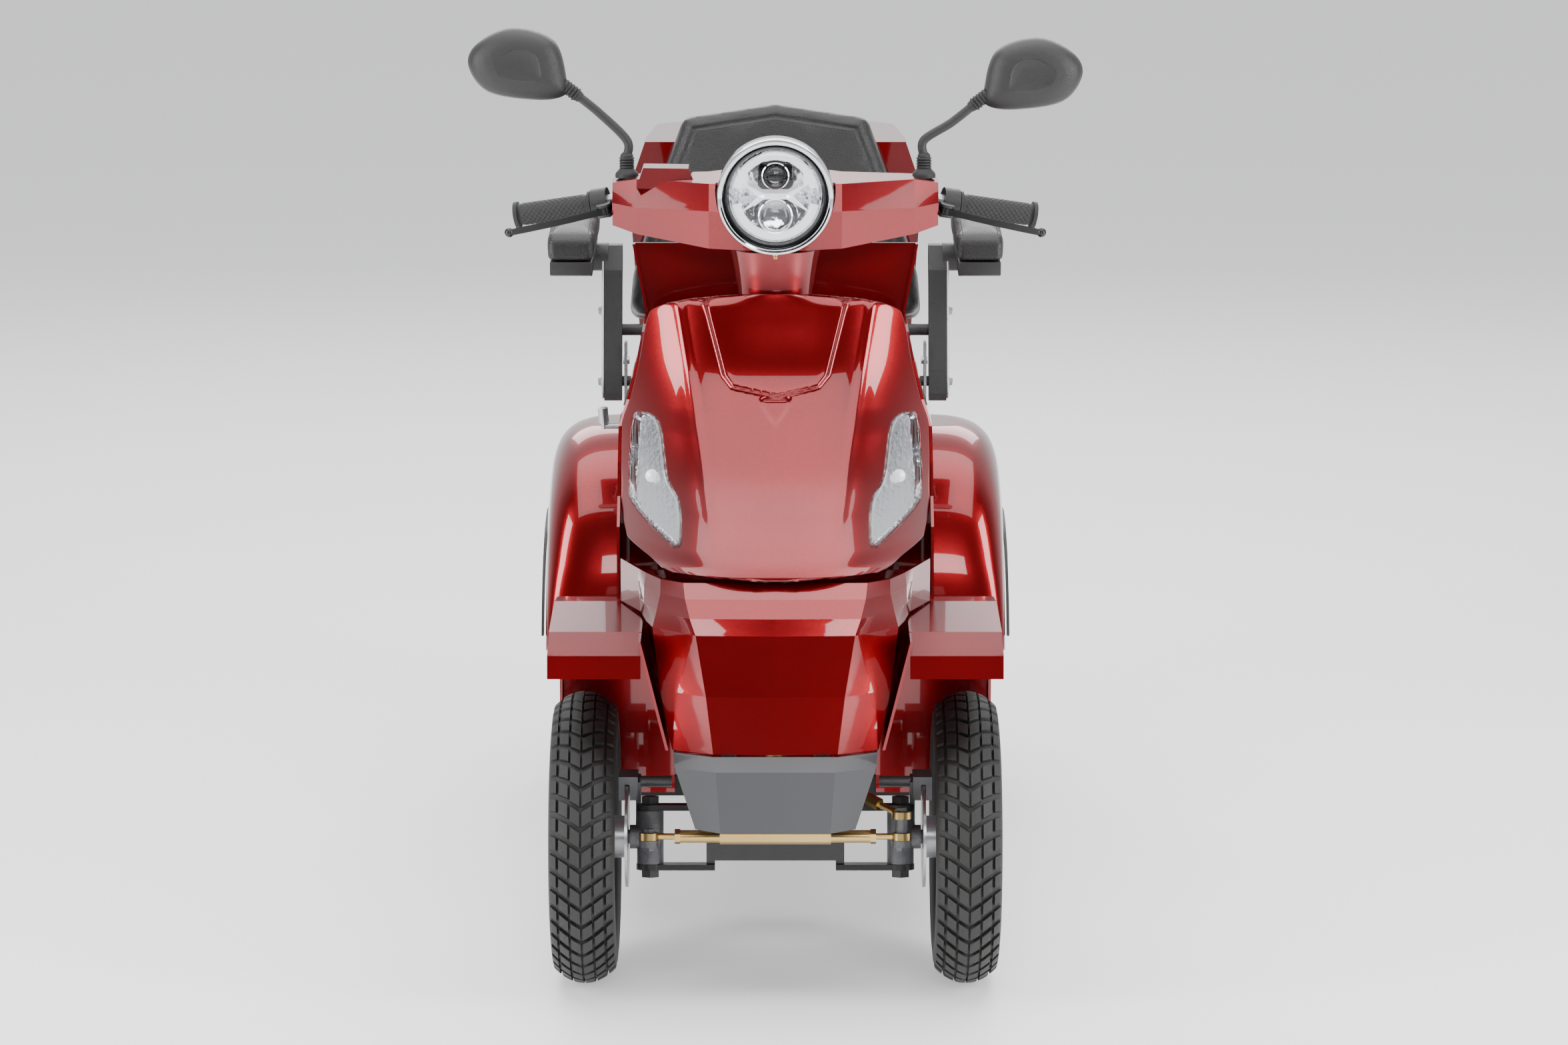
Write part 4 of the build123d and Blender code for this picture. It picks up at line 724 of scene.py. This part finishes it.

# %% [markdown]
# ## Headlight
# A chrome ring with a brow, a black inner ring, a broken white light ring, an X-shaped bar with two square lights, and
# two projectors behind a domed lens.

# %% Headlight
low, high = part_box("headlight_bezel")
LAMP_X, LAMP_Z = (low.x + high.x) / 2 / MM, (low.z + high.z) / 2 / MM
LAMP_Y = low.y / MM + 2
RIM_R = (high.x - low.x) / 2 / MM


def lamp_turned(profile, segments=128, brow=0.0):
    """A profile of (distance behind the face, radius) turned about the lamp's axis, with a brow."""
    verts, faces = turned((LAMP_X, LAMP_Y, LAMP_Z), (0, 1, 0), profile, segments)
    out = []
    for v in verts:
        up = max(0.0, (v[2] - LAMP_Z) / RIM_R)
        front_share = max(0.0, 1 - abs(v[1] - LAMP_Y) / 14)
        out.append(v + np.array([0, -brow * up**0.7 * front_share, 0]))
    return out, faces


bezel = piece("headlight_ring", *lamp_turned([
    (10, RIM_R - 11), (2, RIM_R - 8.5), (-1.2, RIM_R - 6.5), (-2, RIM_R - 4), (-1, RIM_R - 1.4), (2, RIM_R - 0.3),
    (8, RIM_R - 0.1), (9.5, RIM_R - 1.2), (11, RIM_R - 1.2), (12, RIM_R), (40, RIM_R), (62, RIM_R - 3),
    (80, RIM_R - 12), (90, RIM_R - 20), (90, RIM_R - 23), (60, RIM_R - 7), (14, RIM_R - 4)], brow=9), "chrome")
attach(bezel, "steering", "chrome", "headlight_bezel")
inner = piece("headlight_inner_ring", *lamp_turned([
    (6, RIM_R - 10), (3, RIM_R - 12), (4, RIM_R - 14), (9, RIM_R - 16), (12, RIM_R - 17), (30, RIM_R - 18)]),
    "black_gloss")
attach(inner, "steering", "black_gloss")
dish = piece("headlight_dish", *lamp_turned([
    (14, RIM_R - 14), (20, RIM_R - 20), (30, RIM_R - 30), (34, RIM_R - 40), (36, 0)]), "reflector")
attach(dish, "steering", "chrome", "headlight_bowl")
for part, (start, end) in enumerate(((12, 168), (192, 348))):
    ring = []
    for a in np.radians(np.linspace(start, end, 48)):
        for r, y in ((50.5, 15), (52, 11.5), (61.5, 10.5), (63, 14), (62, 18), (52, 18)):
            ring.append((LAMP_X + r * math.cos(a), LAMP_Y + y, LAMP_Z + r * math.sin(a)))
    faces = grid_faces(48, 6, wrap=True) + [tuple(range(6)), tuple(range(282, 288))]
    attach(piece(f"headlight_light_ring_{part}", ring, faces, "lamp_white"), "steering", "chrome")
arms = [slab([(LAMP_X - 20, LAMP_Y + 9, LAMP_Z - 4), (LAMP_X + 20, LAMP_Y + 9, LAMP_Z - 4),
              (LAMP_X + 20, LAMP_Y + 9, LAMP_Z + 4), (LAMP_X - 20, LAMP_Y + 9, LAMP_Z + 4)], (0, 1, 0), 7)]
for sx in (1, -1):
    for sz, tip in ((1, (48, 20)), (-1, (50, -24))):
        outline = [(14, -4 * sz), (24, 0), tip, (16, 4 * sz)]
        arms.append(slab([(LAMP_X + sx * x, LAMP_Y + 8.5, LAMP_Z + z) for x, z in outline], (0, 1, 0), 7))
attach(piece("headlight_cross", *joined(*arms), "lamp_white", bevel=0.6), "steering", "chrome")
squares = [slab([(LAMP_X + sx * 46 + dx, LAMP_Y + 8, LAMP_Z + 27 + dz) for dx, dz in
                 ((-7, -10), (7, -10), (7, 11), (-7, 11))], (0, 1, 0), 8) for sx in (1, -1)]
attach(piece("headlight_blocks", *joined(*squares), "lamp_white", bevel=1.0), "steering", "chrome")
housing = [slab([(LAMP_X + x, LAMP_Y + 10, LAMP_Z + 29 + z) for x, z in
                 ((-25, -14), (-19, -19), (19, -19), (25, -14), (25, 14), (19, 20), (-19, 20), (-25, 14))],
                (0, 1, 0), 26)]
attach(piece("headlight_projector_case", *joined(*housing), "black_gloss", bevel=2), "steering", "black_gloss")
for name, up, radius in (("upper", 29, 17), ("lower", -28, 22)):
    rim = turned((LAMP_X, LAMP_Y + 9, LAMP_Z + up), (0, 1, 0), [(4, radius + 2.5), (0, radius + 2.5), (-1, radius + 1),
                 (0.5, radius), (6, radius - 0.5)], 48)
    attach(piece(f"headlight_{name}_rim", *rim, "chrome"), "steering", "chrome")
    ball = [(9 - radius * 0.62 * math.cos(a), radius * math.sin(a)) for a in np.linspace(0.02, math.pi / 2, 14)]
    glass = turned((LAMP_X, LAMP_Y + 3, LAMP_Z + up), (0, 1, 0), ball + [(12, radius), (12.2, 0)], 48)
    attach(piece(f"headlight_{name}_ball", *glass, "lens_clear"), "steering", "lens_clear")
dome = [(12 - 9 * math.cos(a), (RIM_R - 10.5) * math.sin(a)) for a in np.linspace(0.01, math.pi / 2 * 0.97, 16)]
dome += [(r[0] + 2.2, r[1] - 0.6) for r in reversed(dome)]
attach(piece("headlight_glass", *lamp_turned(dome), "lens_clear"), "steering", "lens_clear", "headlight_lens")
screw = turned((LAMP_X, LAMP_Y + 12, LAMP_Z - RIM_R - 0.5), (0, 0, -1),
               [(-1, 0), (-1, 4), (2, 4), (3, 3), (6, 3), (6.5, 0)], 24)
attach(piece("headlight_screw", *screw, "zinc_gold"), "steering", "zinc_gold")
print("headlight ready")

# %% [markdown]
# ## Mirrors and grips

# %% Mirrors
MIRROR_OUTLINE = [(-66, -22), (-48, 34), (12, 52), (62, 30), (76, -2), (48, -40), (-20, -52), (-62, -46)]


# depth and share of the outline's size, from the middle of the back round to the glass
HOUSING_RINGS = [(-21.5, 0.10), (-21.6, 0.42), (-21.8, 0.46), (-21.2, 0.5), (-19.6, 0.62), (-15, 0.8),
                 (-8.5, 0.93), (-1, 0.985), (8, 1.0), (13, 0.99), (15.6, 0.97), (16, 0.95), (15, 0.925),
                 (12.5, 0.91)]


def make_mirror(side, name):
    """A domed housing with a blank recess in its back, a rim and the glass on the rider's side."""
    low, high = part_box(f"{name}_mirror")
    head_low, head_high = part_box(f"{name}_mirror_stem")
    neck_x = (head_high.x if side > 0 else head_low.x) / MM - side * 3
    neck = np.array([neck_x, -336.0, head_high.z / MM - 3])
    x_far = (high.x if side > 0 else -low.x) / MM
    cx, cz = x_far - 76, high.z / MM - 52
    line = smooth_path(MIRROR_OUTLINE, 10, closed=True)
    rings = []
    for y, scale in HOUSING_RINGS:
        sink = 1.4 if scale < 0.45 else 0
        rings += [(side * (cx + px * scale), -338 + y + sink, cz + pz * scale) for px, pz in line]
    n = len(line)
    faces = grid_faces(len(HOUSING_RINGS), n, wrap=True) + [tuple(range(n))]
    shell = piece(f"{name}_mirror_housing", rings, faces, "black_plastic", smooth=45)
    attach(shell, f"{name}_mirror_head", "black_plastic", f"{name}_mirror")
    glass = [(side * (cx + px * 0.915), -338 + 12.4, cz + pz * 0.915) for px, pz in line]
    face = piece(f"{name}_mirror_glass", *slab(glass, (0, -1, 0), 1.5), "mirror_glass", smooth=30)
    attach(face, f"{name}_mirror_head", "black_plastic")
    points = [(side * 215, -330, 1145), (side * 215, -330, 1169),
              (side * 255, -333, neck[2] - 29), tuple(neck)]
    route = smooth_path(points, 14)
    bend = piece(f"{name}_mirror_bar", *tube(route, 6.6, 18), "black_plastic", smooth=60)
    attach(bend, f"{name}_mirror_arm", "black_plastic", f"{name}_mirror_stem")
    run = np.array(points[3], float) - np.array(points[2], float)
    boot = [(-6, 7.5)]
    for k in range(5):
        at = k * 5.2
        boot += [(at, 8.6), (at + 1.6, 10.6 - k * 0.2), (at + 3.4, 10.4 - k * 0.2), (at + 4.8, 8.4)]
    boot += [(27, 9), (30, 0)]
    cap = piece(f"{name}_mirror_boot", *turned(neck - run / np.linalg.norm(run) * 6, run, boot, 32), "rubber")
    attach(cap, f"{name}_mirror_head", "black_plastic")
    base = [(-4, 17), (0, 17), (3, 16), (6, 13), (9, 10.5), (10, 10)]
    for k in range(4):
        base += [(10 + k * 4, 9.4), (11 + k * 4, 11), (13 + k * 4, 10.8), (13.8 + k * 4, 9.2)]
    base += [(27, 9.5), (30, 8.5), (32, 6)]
    foot = piece(f"{name}_mirror_foot", *turned((side * 215, -330, 1119), (0, 0, 1), base, 40), "rubber")
    attach(foot, f"{name}_mirror_arm", "black_plastic")


make_mirror(1, "left")
make_mirror(-1, "right")
print("mirrors ready")

# %% Grips with a diamond pattern and bar-end rings
KNEE, TIP = np.array([200.0, -330.0, 1085.0]), np.array([376.0, -300.0, 1056.0])
BAR = (TIP - KNEE) / np.linalg.norm(TIP - KNEE)


def on_bar(side, x):
    """The point of the handlebar's slanted end at a distance from the middle."""
    p = KNEE + BAR * ((x - KNEE[0]) / BAR[0])
    return np.array([side * p[0], p[1], p[2]])


GRIPS = ((1, "left", "steering", "left_grip"), (-1, "right", "throttle", "throttle_grip"))
for side, name, body, old in GRIPS:
    start, end = on_bar(side, 266), on_bar(side, 378)
    d, u, v = axis_frame(end - start)
    length = np.linalg.norm(end - start)
    rows, around = 150, 96
    verts = []
    for i in range(rows):
        x = length * i / (rows - 1)
        flange = 4.2 * (step(x, 5.5, 4) + step(x, length - 7, length - 5.5))
        field = step(x, 8, 12) * step(length - 9 - x, 0, 4)
        for k in range(around):
            a = 2 * math.pi * k / around
            diamond = abs(math.sin(6 * a + x * 0.42)) * abs(math.sin(6 * a - x * 0.42))
            r = 15.4 + 1.15 * float(field) * diamond**0.55 + float(flange)
            verts.append(start + d * x + (u * math.cos(a) + v * math.sin(a)) * r)
    faces = grid_faces(rows, around, wrap=True)
    faces += [tuple(range(around)), tuple(range((rows - 1) * around, rows * around))]
    attach(piece(f"{name}_grip_rubber", verts, faces, "rubber", smooth=50), body, "rubber", old)
    ring = turned(end - d * 0.2, d, [(-1, 10), (-1, 12.5), (0.6, 13), (1.6, 12), (1.6, 8), (0.4, 7), (0.4, 0)], 48)
    attach(piece(f"{name}_bar_end", *ring, "chrome"), body, "chrome")
print("grips ready")

# %% [markdown]
# ## Upholstery
# Each pad is its moulded form, remeshed and puffed by a cloth simulation under light pressure, with
# its base held, then pulled in along its seams and stitched beside them.

# %% Pads


STITCH_PITCH = 6.0


def inset_line(outline, distance, pitch=STITCH_PITCH):
    """A closed convex outline moved inwards and resampled at an even pitch."""
    p = np.asarray(outline, float)
    edges = np.roll(p, -1, 0) - p
    edges /= np.linalg.norm(edges, axis=1)[:, None]
    area = np.sum(p[:, 0] * np.roll(p[:, 1], -1) - p[:, 1] * np.roll(p[:, 0], -1))
    inward = np.stack([-edges[:, 1], edges[:, 0]], 1) * math.copysign(1, area)
    corners = []
    for i in range(len(p)):
        a, b = edges[i - 1], edges[i]
        start, end = p[i] + inward[i - 1] * distance, p[i] + inward[i] * distance
        cross = a[0] * b[1] - a[1] * b[0]
        gap = end - start
        corners.append(end if abs(cross) < 1e-6 else start + a * (gap[0] * b[1] - gap[1] * b[0]) / cross)
    line = []
    for a, b in zip(corners, np.roll(corners, -1, 0)):
        count = max(int(np.linalg.norm(b - a) / pitch), 1)
        line += [a + (b - a) * k / count for k in range(count)]
    return np.array(line)


def coords(obj):
    """The object's vertices as an array in millimetres."""
    flat = np.empty(len(obj.data.vertices) * 3)
    obj.data.vertices.foreach_get("co", flat)
    return flat.reshape(-1, 3) / MM


def set_coords(obj, points):
    """Writes vertices given in millimetres back to the object."""
    obj.data.vertices.foreach_set("co", (np.asarray(points) * MM).reshape(-1))
    obj.data.update()


def surface_tree(obj):
    """A tree of the object's faces in millimetres, for laying thread on it."""
    return BVHTree.FromPolygons([Vector(p) for p in coords(obj)],
                                [tuple(p.vertices) for p in obj.data.polygons])


def form_of(name, node_name):
    """A new object with a CAD node's own shape in the row frame."""
    source = frame["nodes"][node_name]
    corners = [source.matrix_world @ v.co / MM for v in source.data.vertices]
    return piece(name, corners, [tuple(p.vertices) for p in source.data.polygons], "leather")


def puffed(obj, voxel, origin, out, depth, limit, most=5.0):
    """Remeshes a pad's form and puffs it; it is held at depth below its face and kept in its box."""
    remesh = obj.modifiers.new("remesh", "REMESH")
    remesh.mode = "VOXEL"
    remesh.voxel_size = voxel * MM
    bpy.context.view_layer.update()
    bake(obj)
    rest = coords(obj)
    cloth = obj.modifiers.new("cloth", "CLOTH")
    cloth.settings.quality = 4
    cloth.settings.use_pressure = True
    cloth.settings.uniform_pressure_force = 4
    cloth.settings.effector_weights.gravity = 0
    cloth.point_cache.frame_start, cloth.point_cache.frame_end = 1, 20
    for number in range(1, 21):
        bpy.context.scene.frame_set(number)
    bake(obj)
    bpy.context.scene.frame_set(1)
    move = coords(obj) - rest
    length = np.linalg.norm(move, axis=1)[:, None]
    move *= np.minimum(1, most / np.maximum(length, 1e-6))
    below = (np.asarray(origin, float) - rest) @ np.asarray(out, float)
    move *= (1 - step(below, depth * 0.55, depth * 0.85))[:, None]
    set_coords(obj, np.clip(rest + move, *limit))
    sub = obj.modifiers.new("subdivide", "SUBSURF")
    sub.levels = sub.render_levels = 1
    bpy.context.view_layer.update()
    bake(obj)
    return obj


def sewn(obj, name, body, origin, across, up, outline, seam, channels=()):
    """Pulls a pad in along a seam inside its outline and along straight channels, and stitches it."""
    across, up = np.asarray(across, float), np.asarray(up, float)
    out = np.cross(across, up)
    out *= math.copysign(1, float(out @ (np.asarray(origin) - coords(obj).mean(0))))
    points = coords(obj)
    local = points - origin
    u, v, height = local @ across, local @ up, local @ out
    facing = step(height, -26, -10)
    inner = inside_depth(u, v, outline)
    groove = np.exp(-(((inner - seam) / 2.4) ** 2))
    for x in channels:
        groove = np.maximum(groove, np.exp(-(((u - x) / 2.6) ** 2)) * step(inner, seam - 2, seam + 2))
    set_coords(obj, points - out * (3.0 * groove * facing)[:, None])
    tree = surface_tree(obj)
    runs = [(inset_line(outline, seam + 5), True), (inset_line(outline, seam - 5), True)]
    low, high = (np.asarray(outline)[:, 1].min() + seam + 8, np.asarray(outline)[:, 1].max() - seam - 8)
    for x in channels:
        for shift in (-5, 5):
            runs.append((np.array([(x + shift, t) for t in np.arange(low, high, STITCH_PITCH)]), False))
    for number, (line, closed) in enumerate(runs):
        laid = []
        for a, b in line:
            start = np.asarray(origin) + across * a + up * b + out * 40
            hit = tree.ray_cast(Vector(start), Vector(-out), 120)[0]
            if hit:
                laid.append(np.array(hit) + out * 0.2)
        thread_line = stitches(f"{name}_stitch_{number}", laid, closed=closed)
        attach(thread_line, body, "leather")
    for polygon in obj.data.polygons:
        polygon.use_smooth = True
    obj.data.materials.clear()
    obj.data.materials.append(MATS["leather"])


def box_limit(name):
    """A CAD node's box in millimetres, for keeping a pad within it."""
    return [np.array(corner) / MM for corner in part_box(name)]


low, high = box_limit("seat_cushion")
seat = puffed(form_of("seat_pad", "seat_cushion"), 6, high, (0, 0, 1), high[2] - low[2], (low, high))
half, front_edge, back_edge = high[0], low[1], high[1]
sewn(seat, "seat", "seat", np.array([0, 0, high[2]]), (1, 0, 0), (0, 1, 0),
     [(-half, front_edge), (half, front_edge), (half, back_edge), (-half, back_edge)], 34, (-95, 95))
attach(seat, "seat", "leather", "seat_cushion")

LEAN = math.radians(11.9)
BACK_OUT = np.array([0, -math.cos(LEAN), math.sin(LEAN)])
BACK_UP = np.array([0, math.sin(LEAN), math.cos(LEAN)])
BACK_AT = np.array([0.0, 262.0, 822.0])
BACK_LINE = [(-232, 0), (232, 0), (226, 70), (178, 233), (146, 319), (0, 341), (-146, 319), (-178, 233), (-226, 70)]
limit = box_limit("backrest_cushion")
back = puffed(form_of("back_pad", "backrest_cushion"), 6, BACK_AT, BACK_OUT, 84, limit)
sewn(back, "back", "backrest", BACK_AT, (1, 0, 0), BACK_UP, BACK_LINE, 26)
attach(back, "backrest", "leather", "backrest_cushion")

PAD_LINE = [(-20, 948), (-20, 978), (-6, 990), (258, 1010), (270, 1000), (270, 952), (238, 950)]
BASE_LINE = [(-18, 927), (-19, 947), (238, 949), (268, 950), (238, 946.5), (0, 923)]
ARM_LINE = [(80, 926), (80, 934), (238, 950), (274, 952), (280, 917), (266, 897), (244, 897), (220, 916)]
for side, name in ((1, "left"), (-1, "right")):
    limit = box_limit(f"{name}_armrest")
    block = slab([(side * 276, y, z) for y, z in PAD_LINE], (side, 0, 0), 69)
    form = piece(f"{name}_arm_pad", *block, "leather", bevel=9)
    pad = puffed(form, 4, (side * 310, 125, 1010), (0, 0, 1), 66, limit, most=4.0)
    body = f"{name}_armrest"
    attach(pad, body, "leather", body)
    tree = surface_tree(pad)
    for x in (284, 337):
        hits = [tree.ray_cast(Vector((side * x, y, 1100)), Vector((0, 0, -1)), 300)[0]
                for y in np.arange(0, 254, STITCH_PITCH)]
        laid = [np.array(p) + (0, 0, 0.2) for p in hits if p]
        attach(stitches(f"{name}_arm_stitch_{x}", laid, closed=False), body, "leather")
    base = piece(f"{name}_arm_base", *slab([(side * 278, y, z) for y, z in BASE_LINE], (side, 0, 0), 64),
                 "black_plastic", bevel=2)
    attach(base, body, "leather")
    hinge_arm = piece(f"{name}_hinge_arm", *slab([(side * 291, y, z) for y, z in ARM_LINE], (side, 0, 0), 39),
                      "black_plastic", bevel=2)
    attach(hinge_arm, body, "leather")
print("upholstery ready")

# %% [markdown]
# ## Rear fenders and cover plates

# %% Rear fenders
FENDER = smooth_path([(-258, 77), (-235, 212), (-175, 332), (-65, 398), (65, 402), (180, 365), (250, 262),
                      (270, 92)], 14)
WHEEL_Y, WHEEL_Z = 520, 208
for side, name in ((1, "left"), (-1, "right")):
    verts = []
    turns = np.linspace(0, math.pi / 2, 40)
    for y, z in FENDER:
        reach, angle = math.hypot(y, z), math.atan2(z, y)
        for t in turns:
            x = 213.5 + 154.0 * math.sin(t) ** 0.5
            r = 241 + (reach - 241) * math.cos(t) ** 0.5
            verts.append((side * x, WHEEL_Y + r * math.cos(angle), WHEEL_Z + min(r * math.sin(angle), 401.8)))
    fender = piece(f"{name}_rear_fender", verts, grid_faces(len(FENDER), len(turns)), "red", smooth=50)
    shell = fender.modifiers.new("shell", "SOLIDIFY")
    shell.thickness = 3 * MM
    centre = Vector((side * 290, WHEEL_Y, WHEEL_Z)) * MM
    middle = fender.data.polygons[len(fender.data.polygons) // 2]
    shell.offset = -1 if middle.normal.dot(middle.center - centre) > 0 else 1
    bpy.context.view_layer.update()
    bake(fender)
    attach(fender, "chassis", "red", *(["rear_fenders"] if side > 0 else []))

# %% Cover plates and fasteners
PLATE = [(179, 714), (199, 701), (214, 706), (224, 762), (254, 873), (276, 916), (270, 932), (248, 932), (228, 899),
         (204, 810), (188, 750)]
for side, name in ((1, "left"), (-1, "right")):
    plate = piece(f"{name}_cover_plate", *slab([(side * 268.2, y, z) for y, z in PLATE], (side, 0, 0), 3.4),
                  "silver_plate", bevel=1.4)
    attach(plate, "backrest", "silver_plate")
    heads = [bolt((side * 271.4, y, z), (side, 0, 0), 11, 6, 8) for y, z in ((200, 728), (228, 836))]
    attach(piece(f"{name}_plate_bolts", *joined(*heads), "steel"), "backrest", "silver_plate")
print("fenders and plates ready")


# %% [markdown]
# ## Stage
# A pale floor, soft light from large panels and the camera.

# %% Floor, lights and camera
REACH, DEPTH = 40000, 60000
floor = piece("floor", [(-REACH, -REACH, 0), (REACH, -REACH, 0), (REACH, DEPTH, 0), (-REACH, DEPTH, 0)],
              [(0, 1, 2, 3)],
              make_material("floor", (0.92, 0.92, 0.92), (0.95, 0.95, 0.95), 0.5, (60, 0.02), 0.05,
                            Emission_Strength=0.4))


def soft_light(name, at, target, size, power, tint=(1, 1, 1)):
    """A rectangular area light aimed at a point, in metres."""
    data = bpy.data.lights.new(name, "AREA")
    data.shape = "RECTANGLE"
    data.size, data.size_y = size
    data.energy = power
    data.color = tint
    obj = bpy.data.objects.new(name, data)
    obj.location = at
    obj.rotation_euler = (Vector(target) - Vector(at)).to_track_quat("-Z", "Y").to_euler()
    bpy.context.scene.collection.objects.link(obj)


soft_light("top", (0, -0.5, 4.2), (0, 0, 0.5), (5, 5), 260)
soft_light("left_box", (3.6, -2.2, 1.9), (0, -0.2, 0.7), (1.2, 3.0), 150)
soft_light("right_box", (-3.6, -2.2, 1.9), (0, -0.2, 0.7), (1.2, 3.0), 150)
soft_light("front_fill", (0.5, -6.5, 3.2), (0, 0, 0.6), (3.0, 1.2), 110)
soft_light("back_fill", (0, 4.5, 3.5), (0, 0, 0.6), (5, 2), 160)
world = bpy.data.worlds.new("studio")
world.use_nodes = True
sky = world.node_tree
coordinate = node(sky, "ShaderNodeTexCoord")
parts = node(sky, "ShaderNodeSeparateXYZ")
fade = node(sky, "ShaderNodeMapRange")
for socket, value in (("From Min", -0.25), ("From Max", 0.35), ("To Min", 0.04), ("To Max", 1.0)):
    fade.inputs[socket].default_value = value
sky.links.new(coordinate.outputs["Generated"], parts.inputs[0])
sky.links.new(parts.outputs["Y"], fade.inputs["Value"])
sky.links.new(fade.outputs[0], sky.nodes["Background"].inputs["Strength"])
sky.nodes["Background"].inputs["Color"].default_value = (0.97, 0.98, 1.0, 1)
bpy.context.scene.world = world

camera = bpy.data.cameras.new("camera")
camera.sensor_width = 36
camera.lens = 36 * 6437.4 / 2000
camera.clip_end = 100
camera.shift_x = (1000 - 989) / 2000
view = bpy.data.objects.new("camera", camera)
view.location = (0, -7.6007, 2.0127)
view.rotation_euler = (math.radians(90 - 10.953), 0, 0)
bpy.context.scene.collection.objects.link(view)
bpy.context.scene.camera = view
